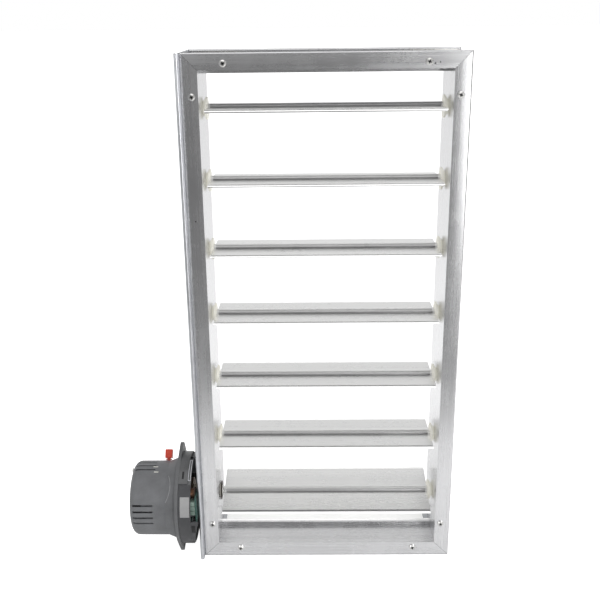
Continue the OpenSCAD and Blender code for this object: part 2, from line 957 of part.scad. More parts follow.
// Outline of a gear of a given pitch radius, with straight-sided teeth between two angles
module gear_outline(teeth, start, first, last) {
    pr = gear_m * teeth / 2;
    root = pr - 1.25 * gear_m;
    tip = pr + 0.9 * gear_m;
    half_root = 0.52 * gear_m;
    half_tip = 0.26 * gear_m;
    circle(r = root + overrun / 100, $fn = 72);
    for (k = [first:last])
        rotate(start + k * 360 / teeth)
            polygon([
                [root - gear_m / 2, -half_root * 1.35], [root, -half_root * 1.35],
                [pr, -half_root], [tip, -half_tip], [tip, half_tip],
                [pr, half_root], [root, half_root * 1.35],
                [root - gear_m / 2, half_root * 1.35]
            ]);
}

module drive_gear() {
    step = 360 / drive_teeth;
    first = -floor((drive_swing + 10) / step);
    web_start = idler_angle + first * step - web_angle;
    web_end = idler_angle + 2 * step + web_angle;
    reach = 2 * drive_pr;
    color("wheat")
        difference() {
            union() {
                bar_x(gear_x - gear_face, hub_end_x - gear_x + gear_face, hub_d, drive_y, drive_z);
                slab_x(gear_x - gear_face, gear_face)
                    translate([drive_y, drive_z]) {
                        intersection() {
                            gear_outline(drive_teeth, idler_angle, first, 2);
                            polygon([
                                [0, 0],
                                [reach * cos(web_start), reach * sin(web_start)],
                                [reach * cos(idler_angle - 45), reach * sin(idler_angle - 45)],
                                [reach * cos(web_end), reach * sin(web_end)]
                            ]);
                        }
                        circle(d = hub_d + 2 * base_wall);
                    }
            }
            bar_x(gear_x - gear_face - overrun, hub_end_x - gear_x + gear_face + 2 * overrun,
                shaft_d + 2 * hold_fit, drive_y, drive_z);
        }
}

module idler_gear() {
    color("wheat")
        difference() {
            union() {
                slab_x(gear_x - gear_face, gear_face)
                    translate([idler_y, idler_z])
                        gear_outline(idler_small_teeth,
                            idler_angle + 180 + 180 / idler_small_teeth, 0,
                            idler_small_teeth - 1);
                bar_x(gear2_x - gear_face, gear_x - gear2_x, 3 * post_d, idler_y, idler_z);
                slab_x(gear2_x - gear_face, gear_face)
                    translate([idler_y, idler_z])
                        gear_outline(idler_large_teeth, motor_angle, 0, idler_large_teeth - 1);
            }
            bar_x(gear2_x - gear_face - overrun, gear_x - gear2_x + gear_face + 2 * overrun,
                post_d + 2 * run_fit, idler_y, idler_z);
        }
}

module motor_pinion() {
    color("goldenrod") {
        slab_x(gear2_x - gear_face, gear_face)
            translate([motor_y, motor_z])
                gear_outline(motor_teeth, motor_angle + 180 + 180 / motor_teeth, 0,
                    motor_teeth - 1);
        bar_x(gear_plate_x - gear_plate_t - motor_len / 2, gear2_x - gear_plate_x
            + gear_plate_t + motor_len / 2 - gear_face / 2, motor_shaft_d, motor_y, motor_z);
    }
}

// Motor can and the steel plate that carries it, with its posts and the idler gear's pin
module motor() {
    can_x = gear_plate_x - motor_len;
    post_len = cover_x - seat - gear_plate_x;
    color("lightsteelblue")
        difference() {
            union() {
                bar_x(can_x, motor_len, 2 * motor_r, motor_y, motor_z);
                slab_x(gear_plate_x, gear_plate_t)
                    motor_plate_outline();
                bar_x(gear_plate_x, post_len, post_d, idler_y, idler_z);
                for (p = plate_posts)
                    bar_x(gear_plate_x, post_len, 1.9 * post_d, p[0], p[1]);
            }
            bar_x(gear_plate_x - motor_len / 2 - 2 * overrun, motor_len,
                motor_shaft_d + 2 * run_fit, motor_y, motor_z);
        }
}

module motor_plate_outline() {
    spots = concat(plate_posts, [[idler_y, idler_z]]);
    translate([motor_y, motor_z]) circle(r = 0.9 * motor_r);
    for (p = spots) {
        run = [p[0] - motor_y, p[1] - motor_z];
        long = norm(run);
        side = 0.8 * post_d * [-run[1], run[0]] / long;
        at = [motor_y, motor_z];
        translate(p) circle(r = post_d);
        polygon([at + side, at - side, p - side, p + side]);
    }
}

// Flat spiral spring around the drive gear's hub
module return_spring() {
    steps = 24 * spring_turns;
    gain = (spring_out - spring_in - spring_t) / steps;
    line = [for (k = [0:steps]) let (a = 360 * k / 24, r = spring_in + gain * k)
        [r * cos(a), r * sin(a)]];
    back = [for (k = [steps:-1:0]) let (a = 360 * k / 24, r = spring_in + spring_t + gain * k)
        [r * cos(a), r * sin(a)]];
    color("saddlebrown")
        slab_x(spring_x, spring_w - overrun)
            translate([drive_y, drive_z])
                polygon(concat(line, back));
}

module circuit_board() {
    color("seagreen")
        difference() {
            slab_x(board_x, board_t)
                translate([board_y[0], board_z[0]])
                    square([board_y[1] - board_y[0], board_z[1] - board_z[0]]);
            for (p = board_posts)
                bar_x(board_x - overrun, board_t + 2 * overrun, cover_screw_d, p[0], p[1]);
        }
}

module terminal_block() {
    color("darkgreen")
        difference() {
            slab_x(board_x + board_t + seat, block_t)
                translate([board_y[0] + 4 * post_d, board_z[0] + seat])
                    square([board_y[1] - board_y[0] - 8 * post_d, block_h]);
            for (k = [0:3])
                bar_x(board_x + board_t + overrun, block_t,
                    block_t, board_y[0] + (5 + 1.5 * k) * post_d, board_z[0] + block_h / 2);
        }
}

// Folded strip that holds the base to the side plate
module actuator_bracket() {
    near = -(plate_out_x + seat);
    far = floor_x + seat;
    color("silver")
        difference() {
            slab_x(far, near - far)
                translate([bracket_y[0] - bracket_foot, bracket_z[0]])
                    square([bracket_y[1] - bracket_y[0] + 2 * bracket_foot,
                        bracket_z[1] - bracket_z[0]]);
            slab_x(far + bracket_t2, near - far)
                translate([bracket_y[0] - bracket_foot - overrun, bracket_z[0] - overrun])
                    square([bracket_y[1] - bracket_y[0] - bracket_t2 + bracket_foot + overrun,
                        bracket_z[1] - bracket_z[0] + 2 * overrun]);
            slab_x(far - overrun, near - far - bracket_t2 + overrun)
                translate([bracket_y[1], bracket_z[0] - overrun])
                    square([bracket_foot + overrun, bracket_z[1] - bracket_z[0] + 2 * overrun]);
            bar_x(near - bracket_t2 - overrun, bracket_t2 + 2 * overrun, 2 * bracket_hole_r,
                bracket_y[1] + bracket_foot / 2, (bracket_z[0] + bracket_z[1]) / 2);
            bar_x(far - overrun, bracket_t2 + 2 * overrun, 2 * bracket_hole_r,
                bracket_y[0], (bracket_z[0] + bracket_z[1]) / 2);
        }
}

frame_rail(2);  // frame_top
frame_rail(0);  // frame_bottom
frame_jamb(3);  // frame_left
frame_jamb(1);  // frame_right
side_plate();
side_hem();
corner_brackets();
frame_screws();
top_stop();
bottom_stop();
sill_seal();
bushings();
for (i = [1:blade_count]) {
    blade(i);
    end_caps(i);
    seals(i);
}
for (i = [1:blade_count - 1]) {
    shafts(i);
    crank(axis_z[i - 1], crank_r, crank_rest);
}
drive_shaft();
crank(axis_z[blade_count - 1], drive_crank_r, drive_crank_rest);  // drive_crank
link_bar();
actuator_base();
actuator_cover();
cover_screws();
actuator_bracket();
release_lever();
drive_gear();
idler_gear();
motor_pinion();
motor();
return_spring();
circuit_board();
terminal_block();
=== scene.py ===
"""Motorized duct damper: finishes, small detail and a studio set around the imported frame."""

import itertools
import logging
import math
from collections.abc import Callable, Iterable
from dataclasses import dataclass, field, replace
from enum import Enum

import bmesh
import bpy
from mathutils import Matrix, Vector


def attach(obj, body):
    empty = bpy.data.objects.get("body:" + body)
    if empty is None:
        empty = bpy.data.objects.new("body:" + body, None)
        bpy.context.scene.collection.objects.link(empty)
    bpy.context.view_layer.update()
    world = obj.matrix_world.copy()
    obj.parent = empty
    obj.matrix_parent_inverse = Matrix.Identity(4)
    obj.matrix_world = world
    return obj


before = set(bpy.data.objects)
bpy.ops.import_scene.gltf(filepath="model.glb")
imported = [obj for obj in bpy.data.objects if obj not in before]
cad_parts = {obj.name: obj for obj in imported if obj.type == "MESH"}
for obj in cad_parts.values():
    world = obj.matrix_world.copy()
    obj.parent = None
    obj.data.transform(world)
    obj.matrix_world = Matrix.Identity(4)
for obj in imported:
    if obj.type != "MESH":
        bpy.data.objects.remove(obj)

log = logging.getLogger("duct_damper")

MM = 0.001
QUARTER = math.radians(90)
ALONG_X = (0.0, QUARTER, 0.0)
ALONG_Y = (QUARTER, 0.0, 0.0)
SQUARE_ON = 0.99
DRAWN_OUT = 0.012
SIDES = (-1, 1)
SHEET_FACETS = 360
WASHER_FACETS = 64
POST_FACETS = 24
SHEET_BEVEL = 0.12 * MM
BEVEL_FROM = 0.3 * MM
BLADES = 7
Pair = tuple[float, float]
Triple = tuple[float, float, float]
Colour = tuple[float, float, float, float]
Piece = bpy.types.Object
Socket = bpy.types.NodeSocket
Number = float | Socket
Tint = Colour | Socket
BLACK: Colour = (0.0, 0.0, 0.0, 1.0)
WHITE: Colour = (1.0, 1.0, 1.0, 1.0)


class Axis(Enum):
    """Direction in which an extrusion or a brushed sheet runs."""

    X = 0
    Y = 1
    Z = 2


def grey(level: float) -> Colour:
    """The opaque grey of a level."""
    return (level, level, level, 1.0)


def in_metres(lengths: tuple[float, ...]) -> tuple[float, ...]:
    """Turn lengths in mm to metres."""
    return tuple(value * MM for value in lengths)


# Selecting and editing

def deselect_all() -> None:
    """Leave edit mode and drop the selection."""
    if bpy.context.object is not None and bpy.context.object.mode != "OBJECT":
        bpy.ops.object.mode_set(mode="OBJECT")
    bpy.ops.object.select_all(action="DESELECT")


def pick(piece: Piece) -> None:
    """Make a piece the only selected and active one.

    Args:
        piece: the object to work on.
    """
    deselect_all()
    piece.select_set(True)
    bpy.context.view_layer.objects.active = piece


def fresh(name: str) -> Piece:
    """Name the primitive that an operator has just added, and return it.

    Args:
        name: the piece's name.

    Returns:
        The active object.
    """
    piece = bpy.context.object
    piece.name = name
    piece.data.name = name
    return piece


def select_faces(piece: Piece, test: Callable[[bmesh.types.BMFace], bool]) -> None:
    """Enter edit mode with only the faces selected that a test on the face passes.

    Args:
        piece: the mesh object to edit.
        test: a function of a bmesh face that says whether to select it.
    """
    pick(piece)
    bpy.ops.object.mode_set(mode="EDIT")
    bpy.ops.mesh.select_mode(type="FACE")
    bpy.ops.mesh.select_all(action="DESELECT")
    mesh = bmesh.from_edit_mesh(piece.data)
    for face in mesh.faces:
        if test(face):
            face.select_set(True)
    bmesh.update_edit_mesh(piece.data)


def settle(piece: Piece, smooth_deg: float = 35.0) -> Piece:
    """Apply the piece's place to its mesh and shade it smooth up to an angle.

    Args:
        piece: the finished mesh object.
        smooth_deg: the largest angle that still shades smooth.

    Returns:
        The same object.
    """
    pick(piece)
    bpy.ops.object.transform_apply(location=True, rotation=True, scale=True)
    bpy.ops.object.shade_smooth_by_angle(angle=math.radians(smooth_deg))
    deselect_all()
    return piece


def apply_modifier(piece: Piece, kind: str, **values) -> None:
    """Add a modifier with the given values and apply it.

    Args:
        piece: the mesh object.
        kind: Blender's name of the modifier's type.
        **values: the modifier's own settings.
    """
    pick(piece)
    modifier = piece.modifiers.new(kind.title(), kind)
    for key, value in values.items():
        setattr(modifier, key, value)
    bpy.ops.object.modifier_apply(modifier=modifier.name)


def join(pieces: list[Piece], name: str) -> Piece:
    """Join several pieces to one mesh.

    Args:
        pieces: the objects to join, the first of which stays.
        name: the joined piece's name.

    Returns:
        The joined object.
    """
    pick(pieces[0])
    for other in pieces[1:]:
        other.select_set(True)
    if len(pieces) > 1:
        bpy.ops.object.join()
    return fresh(name)


# Shader building

class Tree:
    """A short-hand for placing and wiring shader nodes."""

    COLUMN_WIDTH = 200

    def __init__(self, tree: bpy.types.NodeTree) -> None:
        """Keep the tree to build in."""
        self.tree = tree
        self.column = 0

    def add(self, kind: str, **values) -> bpy.types.Node:
        """Place a node, set its properties and its unlinked inputs.

        Args:
            kind: the node's type without the ShaderNode prefix, or the full name.
            **values: properties by name; a name with a leading in_ sets an input, with
                underscores for spaces, to a value or links it to a socket.

        Returns:
            The new node.
        """
        full = kind if kind.startswith(("ShaderNode", "NodeGroup")) else "ShaderNode" + kind
        made = self.tree.nodes.new(full)
        made.location = (self.column * self.COLUMN_WIDTH, 0)
        self.column += 1
        for key, value in values.items():
            if not key.startswith("in_"):
                setattr(made, key, value)
        for key, value in values.items():
            if key.startswith("in_"):
                self.feed(made, key.removeprefix("in_").replace("_", " "), value)
        return made

    def feed(self, made: bpy.types.Node, label: str, value: Number | Tint) -> None:
        """Set or link one input, found by its name or number.

        Args:
            made: the node.
            label: the input's name or number.
            value: a number, a colour or an output socket.
        """
        socket = made.inputs[int(label)] if label.isdigit() else made.inputs[label]
        if isinstance(value, Socket):
            self.tree.links.new(value, socket)
        else:
            socket.default_value = value

    def math(self, operation: str, first: Number, second: Number = 0.0) -> Socket:
        """Combine two numbers and return the result's socket."""
        made = self.add("Math", operation=operation, in_0=first, in_1=second)
        return made.outputs[0]

    def times(self, first: Number, second: Number) -> Socket:
        """Multiply two numbers and return the product's socket."""
        return self.math("MULTIPLY", first, second)

    def blend(self, first: Socket, first_weight: float, second: Socket,
              second_weight: float) -> Socket:
        """Add two numbers, each times its weight, and return the sum's socket."""
        return self.math("ADD", self.times(first, first_weight),
                         self.times(second, second_weight))

    def noise(self, place: Socket, scale: Number, detail: float = 2.0,
              rough: float = 0.5) -> Socket:
        """Place a noise texture and return its value's socket."""
        made = self.add("TexNoise", in_Vector=place, in_Scale=scale, in_Detail=detail,
                        in_Roughness=rough)
        return made.outputs[0]

    def remap(self, value: Socket, low: float, high: float, to_low: float = 0.0,
              to_high: float = 1.0) -> Socket:
        """Map a number from one span to another, held at the ends.

        Args:
            value: the socket to map.
            low: start of the span that comes in.
            high: end of the span that comes in.
            to_low: start of the span that goes out.
            to_high: end of the span that goes out.

        Returns:
            The result's socket.
        """
        made = self.add("MapRange", in_Value=value)
        for index, number in enumerate((low, high, to_low, to_high)):
            made.inputs[index + 1].default_value = number
        return made.outputs[0]

    def mix(self, share: Number, first: Tint, second: Tint) -> Socket:
        """Mix two colours by a share.

        Args:
            share: how much of the second colour there is, from 0 to 1.
            first: the first colour.
            second: the second colour.

        Returns:
            The result's socket.
        """
        made = self.add("Mix", data_type="RGBA")
        self.feed(made, "0", share)
        self.feed(made, "6", first)
        self.feed(made, "7", second)
        return made.outputs[2]


def new_group(name: str, outputs: tuple[str, ...], **numbers: float) -> tuple:
    """Start a shader node group that takes a vector and numbers and gives numbers.

    Args:
        name: the group's name.
        outputs: name of each number that comes out.
        **numbers: name and default of each number that goes in.

    Returns:
        The group, a Tree to build in it, its input sockets by name and its output node.
    """
    group = bpy.data.node_groups.new(name, "ShaderNodeTree")
    sockets = group.interface
    sockets.new_socket("Vector", in_out="INPUT", socket_type="NodeSocketVector")
    for label, default in numbers.items():
        socket = sockets.new_socket(label, in_out="INPUT", socket_type="NodeSocketFloat")
        socket.default_value = default
    for label in outputs:
        sockets.new_socket(label, in_out="OUTPUT", socket_type="NodeSocketFloat")
    tree = Tree(group)
    return group, tree, tree.add("NodeGroupInput").outputs, tree.add("NodeGroupOutput")


class Effects:
    """Node groups that several finishes share, each built once."""

    def __init__(self) -> None:
        """Build every group."""
        self.streaks = self._streaks()
        self.mottle = self._mottle()
        self.grain = self._grain()
        self.specks = self._specks()

    @staticmethod
    def _streaks() -> bpy.types.NodeTree:
        """Lines drawn out along one axis, as an extrusion die or a brush leaves them.

        Returns:
            The group.
        """
        broad_tone, fine_tone = 0.6, 0.4
        broad_relief, fine_relief = 1.2, 0.5
        tone_low, tone_high = 0.36, 0.64
        group, tree, given, out = new_group("draw_streaks", ("Tone", "Height"), Fine=2200.0,
                                            Broad=260.0)
        broad = tree.noise(given["Vector"], given["Broad"], 3.0, 0.6)
        fine = tree.noise(given["Vector"], given["Fine"])
        both = tree.blend(broad, broad_tone, fine, fine_tone)
        tree.feed(out, "Tone", tree.remap(both, tone_low, tone_high))
        tree.feed(out, "Height", tree.blend(fine, fine_relief, broad, broad_relief))
        return group

    @staticmethod
    def _mottle() -> bpy.types.NodeTree:
        """Slow patches, such as oxide, handling marks and uneven gloss.

        Returns:
            The group.
        """
        tone_low, tone_high = 0.3, 0.7
        group, tree, given, out = new_group("slow_mottle", ("Tone",), Size=24.0)
        noise = tree.noise(given["Vector"], given["Size"], 5.0, 0.62)
        tree.feed(out, "Tone", tree.remap(noise, tone_low, tone_high))
        return group

    @staticmethod
    def _grain() -> bpy.types.NodeTree:
        """The spark-eroded grain of a plastic mould.

        Returns:
            The group.
        """
        cell_relief, noise_relief = 0.6, 0.5
        group, tree, given, out = new_group("mould_grain", ("Height",), Density=1800.0)
        cells = tree.add("TexVoronoi", feature="SMOOTH_F1", in_Vector=given["Vector"],
                         in_Scale=given["Density"])
        noise = tree.noise(given["Vector"], given["Density"])
        tree.feed(out, "Height", tree.blend(cells.outputs[0], cell_relief, noise, noise_relief))
        return group

    @staticmethod
    def _specks() -> bpy.types.NodeTree:
        """Scattered small marks: grit, nicks and dust.

        Returns:
            The group.
        """
        patch_scale = 11.0
        bare_below, full_above = 0.5, 0.6
        group, tree, given, out = new_group("small_specks", ("Mask",), Density=90.0, Share=0.08)
        cells = tree.add("TexVoronoi", feature="F1", in_Vector=given["Vector"],
                         in_Scale=given["Density"])
        near = tree.math("LESS_THAN", cells.outputs[0], given["Share"])
        noise = tree.noise(given["Vector"], patch_scale)
        tree.feed(out, "Mask", tree.times(near, tree.remap(noise, bare_below, full_above)))
        return group

    def spread(self, tree: Tree, place: Socket,
               finish: "MetalFinish | PlasticFinish") -> tuple[Socket, Socket]:
        """Place a finish's slow mottle and its specks.

        Args:
            tree: the material's tree.
            place: the object coordinates.
            finish: the finish, which holds their sizes.

        Returns:
            The mottle's tone and how much each speck covers.
        """
        patch = tree.add("Group", node_tree=self.mottle, in_Vector=place,
                         in_Size=finish.mottle_size)
        speck = tree.add("Group", node_tree=self.specks, in_Vector=place,
                         in_Density=finish.speck_density, in_Share=finish.speck_share)
        return patch.outputs["Tone"], tree.times(speck.outputs["Mask"], finish.speck_cover)


def start_material(name: str) -> tuple[bpy.types.Material, Tree, bpy.types.Node, bpy.types.Node]:
    """Start a material with its shader and object coordinates.

    Args:
        name: the material's name.

    Returns:
        The material, its Tree, its Principled BSDF and its texture coordinates.
    """
    material = bpy.data.materials.new(name)
    material.use_nodes = True
    material.node_tree.nodes.clear()
    tree = Tree(material.node_tree)
    coords = tree.add("TexCoord")
    shader = tree.add("BsdfPrincipled")
    end = tree.add("OutputMaterial")
    material.node_tree.links.new(shader.outputs[0], end.inputs["Surface"])
    return material, tree, shader, coords


@dataclass(frozen=True)
class MetalFinish:
    """Bare metal with draw or brush lines along one axis."""

    name: str
    dark: Triple
    light: Triple
    rough: float
    rough_span: float
    along: Axis
    bump_mm: float = 0.02
    mottle_size: float = 24.0
    speck_share: float = 0.06
    speck_density: float = 90.0
    crown_across: Axis | None = None
    crown_centre: float = 0.0
    crown_reach: float = 0.0
    crown_half: float = 9.0 * MM
    crown_mm: float = 0.5
    crown_bow: float = -0.5
    rim_from: float = 0.88
    rim_slope: float = 11.0
    # Above this height, on the top rail's top face, the colour is darkened as painted shade; the
    # face is also made rougher and less metallic.
    dull_above: float | None = None
    top_shade_share: float = 0.42
    top_shade_tone: float = 0.05
    dull_rough: float = 0.45
    dull_metal: float = 0.9
    streak_tone: float = 0.6
    streak_gloss: float = 0.5
    speck_cover: float = 0.6
    speck_tone: float = 0.35
    bump_strength: float = 0.6

    def crown(self, tree: Tree, place: Socket) -> bpy.types.Node:
        """Bow the normal a little across a flange and more at its rim, as on a drawn face.

        Args:
            tree: the material's tree.
            place: the object coordinates.

        Returns:
            The bump node.
        """
        axes = tree.add("SeparateXYZ", in_Vector=place)
        away = tree.math("ABSOLUTE", tree.math("SUBTRACT", axes.outputs[self.crown_across.value],
                                               self.crown_centre))
        share = tree.math("DIVIDE", tree.math("SUBTRACT", away, self.crown_reach), self.crown_half)
        bow = tree.times(tree.times(share, share), self.crown_bow)
        rim = tree.math("MAXIMUM", tree.math("SUBTRACT", share, self.rim_from), 0.0)
        bow = tree.math("SUBTRACT", bow, tree.times(rim, self.rim_slope))
        return tree.add("Bump", in_Strength=1.0, in_Distance=self.crown_mm * MM, in_Height=bow)

    def build(self, effects: Effects) -> bpy.types.Material:
        """Make the material.

        Args:
            effects: the shared node groups.

        Returns:
            The new material.
        """
        material, tree, shader, coords = start_material(self.name)
        place = coords.outputs["Object"]
        stretch = [1.0, 1.0, 1.0]
        stretch[self.along.value] = DRAWN_OUT
        drawn = tree.add("Mapping", in_Vector=place, in_Scale=tuple(stretch)).outputs[0]
        streak = tree.add("Group", node_tree=effects.streaks, in_Vector=drawn)
        patch, speck = effects.spread(tree, place, self)
        tone = streak.outputs["Tone"]
        share = tree.blend(tone, self.streak_tone, patch, 1 - self.streak_tone)
        gloss = tree.blend(tone, self.streak_gloss, patch, 1 - self.streak_gloss)
        colour = tree.mix(share, (*self.dark, 1.0), (*self.light, 1.0))
        colour = tree.mix(speck, colour, tuple(c * self.speck_tone for c in self.dark) + (1.0,))
        rough = tree.remap(gloss, 0.0, 1.0, self.rough - self.rough_span / 2,
                           self.rough + self.rough_span / 2)
        shader.inputs["Metallic"].default_value = 1.0
        # Painted shade on the top face: above the height the colour is mixed toward dark grey.
        if self.dull_above is not None:
            height = tree.add("SeparateXYZ", in_Vector=place).outputs["Z"]
            above = tree.math("GREATER_THAN", height, self.dull_above)
            colour = tree.mix(tree.times(above, self.top_shade_share), colour, grey(self.top_shade_tone))
            rough = tree.math("ADD", rough, tree.times(above, self.dull_rough))
            tree.feed(shader, "Metallic",
                      tree.math("SUBTRACT", 1.0, tree.times(above, self.dull_metal)))
        tree.feed(shader, "Base Color", colour)
        tree.feed(shader, "Roughness", rough)
        bump = tree.add("Bump", in_Strength=self.bump_strength,
                        in_Distance=self.bump_mm * MM, in_Height=streak.outputs["Height"])
        if self.crown_across is not None:
            tree.feed(bump, "Normal", self.crown(tree, place).outputs[0])
        tree.feed(shader, "Normal", bump.outputs[0])
        return material


@dataclass(frozen=True)
class PlasticFinish:
    """Moulded plastic, vinyl or paint with a mould's grain. Its glow is painted light, and its
    shade span paints a shadow.
    """

    name: str
    dark: Triple
    light: Triple
    rough: float
    grain: float = 1800.0
    grain_mm: float = 0.03
    speck: Triple = (0.05, 0.05, 0.05)
    speck_share: float = 0.05
    speck_density: float = 160.0
    speck_cover: float = 0.7
    mottle_size: float = 40.0
    rough_half: float = 0.06
    glow: float = 0.0
    shade_span: Pair | None = None
    shade: Triple = (0.22, 0.22, 0.225)
    bump_strength: float = 0.5

    def build(self, effects: Effects) -> bpy.types.Material:
        """Make the material.

        Args:
            effects: the shared node groups.

        Returns:
            The new material.
        """
        material, tree, shader, coords = start_material(self.name)
        place = coords.outputs["Object"]
        patch, speck = effects.spread(tree, place, self)
        grain = tree.add("Group", node_tree=effects.grain, in_Vector=place,
                         in_Density=self.grain)
        colour = tree.mix(patch, (*self.dark, 1.0), (*self.light, 1.0))
        lit = (*self.light, 1.0)
        # Painted shadow: inside the shade span the colour turns to the shade colour and the glow
        # goes out.
        if self.shade_span is not None:
            depth = tree.add("SeparateXYZ", in_Vector=place).outputs["Y"]
            in_shade = tree.times(tree.math("GREATER_THAN", depth, self.shade_span[0]),
                                tree.math("LESS_THAN", depth, self.shade_span[1]))
            colour = tree.mix(in_shade, colour, (*self.shade, 1.0))
            lit = tree.mix(in_shade, lit, BLACK)
        tree.feed(shader, "Base Color", tree.mix(speck, colour, (*self.speck, 1.0)))
        tree.feed(shader, "Roughness", tree.remap(patch, 0.0, 1.0, self.rough - self.rough_half,
                                                  self.rough + self.rough_half))
        tree.feed(shader, "Emission Color", lit)
        shader.inputs["Emission Strength"].default_value = self.glow
        bump = tree.add("Bump", in_Strength=self.bump_strength,
                        in_Distance=self.grain_mm * MM, in_Height=grain.outputs["Height"])
        tree.feed(shader, "Normal", bump.outputs[0])
        return material


# Finishes

RAIL = {"dark": (0.60, 0.60, 0.61), "light": (0.75, 0.75, 0.76), "rough": 0.27,
        "rough_span": 0.08, "bump_mm": 0.012}
# The vinyl's glow is painted light: it shines though it is no lamp.
VINYL = {"dark": (0.93, 0.93, 0.92), "light": (0.97, 0.97, 0.96), "rough": 0.46, "glow": 0.35}
MOULDED = {"grain": 1400.0, "grain_mm": 0.05, "speck": (0.3, 0.3, 0.3), "speck_share": 0.03}


class Finishes:
    """Every finish of the damper, by name."""

    LIST = (
        MetalFinish("rail_aluminium", along=Axis.X, crown_across=Axis.Z, crown_centre=305 * MM,
                    crown_reach=296 * MM, dull_above=609.7 * MM, **RAIL),
        MetalFinish("jamb_aluminium", along=Axis.Z, crown_across=Axis.X, crown_reach=143.5 * MM,
                    **RAIL),
        MetalFinish("blade_aluminium", (0.82, 0.82, 0.82), (0.86, 0.86, 0.85), 0.28, 0.04, Axis.X,
                    bump_mm=0.003),
        # Painted shade on the blade tubes: a darker band on the tube's front, and a dark line of
        # painted shadow in the crease where the tube meets the plate.
        MetalFinish("tube_painted_shade", (0.55, 0.55, 0.55), (0.70, 0.70, 0.70), 0.30, 0.08, Axis.X,
                    bump_mm=0.006),
        MetalFinish("tube_crease_shadow", (0.26, 0.26, 0.26), (0.36, 0.36, 0.36), 0.34, 0.08, Axis.X,
                    bump_mm=0.006),
        MetalFinish("sheet_steel", (0.48, 0.49, 0.52), (0.74, 0.75, 0.77), 0.40, 0.20, Axis.Z,
                    mottle_size=55.0),
        MetalFinish("plated_steel", (0.62, 0.62, 0.61), (0.88, 0.87, 0.85), 0.28, 0.14, Axis.Y),
        MetalFinish("shaft_steel", (0.50, 0.50, 0.50), (0.82, 0.82, 0.80), 0.24, 0.12, Axis.X),
        MetalFinish("motor_can", (0.42, 0.43, 0.45), (0.62, 0.63, 0.65), 0.35, 0.15, Axis.X),
        MetalFinish("spring_steel", (0.16, 0.11, 0.08), (0.34, 0.25, 0.18), 0.38, 0.14, Axis.X),
        MetalFinish("brass", (0.55, 0.38, 0.12), (0.80, 0.60, 0.26), 0.30, 0.12, Axis.X),
        MetalFinish("copper_wire", (0.12, 0.065, 0.045), (0.27, 0.155, 0.10), 0.32, 0.12, Axis.X),
        PlasticFinish("white_vinyl", **VINYL),
        # The seals get a painted shadow near the bead, in a band along Y.
        PlasticFinish("seal_vinyl", shade_span=(4.6 * MM, 10.0 * MM), **VINYL),
        # The ivory parts' glow is painted light, which brightens them as if lit through.
        PlasticFinish("ivory_plastic", (0.76, 0.74, 0.65), (0.87, 0.86, 0.79), 0.50,
                      speck=(0.3, 0.26, 0.2), glow=0.22),
        PlasticFinish("dark_plastic", (0.115, 0.118, 0.124), (0.168, 0.172, 0.180), 0.50,
                      **MOULDED),
        PlasticFinish("base_plastic", (0.092, 0.094, 0.098), (0.132, 0.135, 0.140), 0.42,
                      **MOULDED),
        # A painted highlight along the cover's crease.
        PlasticFinish("crease_highlight", (0.20, 0.205, 0.21), (0.30, 0.305, 0.31), 0.40),
        PlasticFinish("red_plastic", (0.68, 0.045, 0.02), (0.88, 0.09, 0.04), 0.36),
        PlasticFinish("gear_plastic", (0.66, 0.61, 0.50), (0.80, 0.76, 0.66), 0.45),
        PlasticFinish("board_green", (0.012, 0.05, 0.04), (0.03, 0.10, 0.08), 0.35, grain_mm=0.01),
        PlasticFinish("terminal_green", (0.015, 0.14, 0.05), (0.03, 0.22, 0.08), 0.42),
        PlasticFinish("housing_light", (0.078, 0.080, 0.081), (0.128, 0.130, 0.134), 0.44,
                      **{**MOULDED, "grain": 900.0, "grain_mm": 0.12}),
        # Dark brown for the relay bobbin, and painted shade in the ring round the drive shaft.
        PlasticFinish("dark_brown_and_shade", (0.022, 0.014, 0.010), (0.055, 0.034, 0.022), 0.85,
                      grain=2600.0, grain_mm=0.06),
        PlasticFinish("terminal_grey", (0.10, 0.16, 0.13), (0.24, 0.32, 0.28), 0.42),
        PlasticFinish("housing_dark", (0.038, 0.039, 0.042), (0.062, 0.063, 0.068), 0.46,
                      **{**MOULDED, "speck": (0.25, 0.25, 0.25)}),
        PlasticFinish("label_white", (0.27, 0.27, 0.275), (0.36, 0.36, 0.36), 0.42, grain=600.0,
                      grain_mm=0.01, speck=(0.45, 0.43, 0.4)),
        PlasticFinish("chip_black", (0.012, 0.012, 0.013), (0.03, 0.03, 0.032), 0.45),
        # Near-black for the punch marks and the mitre lines, and painted shade in the screw
        # recesses, the housing slot and the tongue window.
        PlasticFinish("dark_mark_and_shade", (0.006, 0.006, 0.007), (0.018, 0.018, 0.019), 0.7),
    )

    def __init__(self) -> None:
        """Build the shared groups and every finish."""
        effects = Effects()
        self.made = {finish.name: finish.build(effects) for finish in self.LIST}

    def dress(self, piece: Piece, name: str) -> None:
        """Give a piece one finish all over.

        Args:
            piece: a new piece or a CAD node.
            name: the finish's name.
        """
        if piece.material_slots:
            for held in piece.material_slots:
                held.material = self.made[name]
        else:
            piece.data.materials.append(self.made[name])


# Small shapes

def cube(name: str, size: Triple, centre: Triple = (0.0, 0.0, 0.0)) -> Piece:
    """A plain box.

    Args:
        name: the piece's name.
        size: its lengths along X, Y and Z.
        centre: its middle.

    Returns:
        The box.
    """
    deselect_all()
    bpy.ops.mesh.primitive_cube_add(size=1.0, location=centre)
    piece = fresh(name)
    piece.scale = size
    return settle(piece)


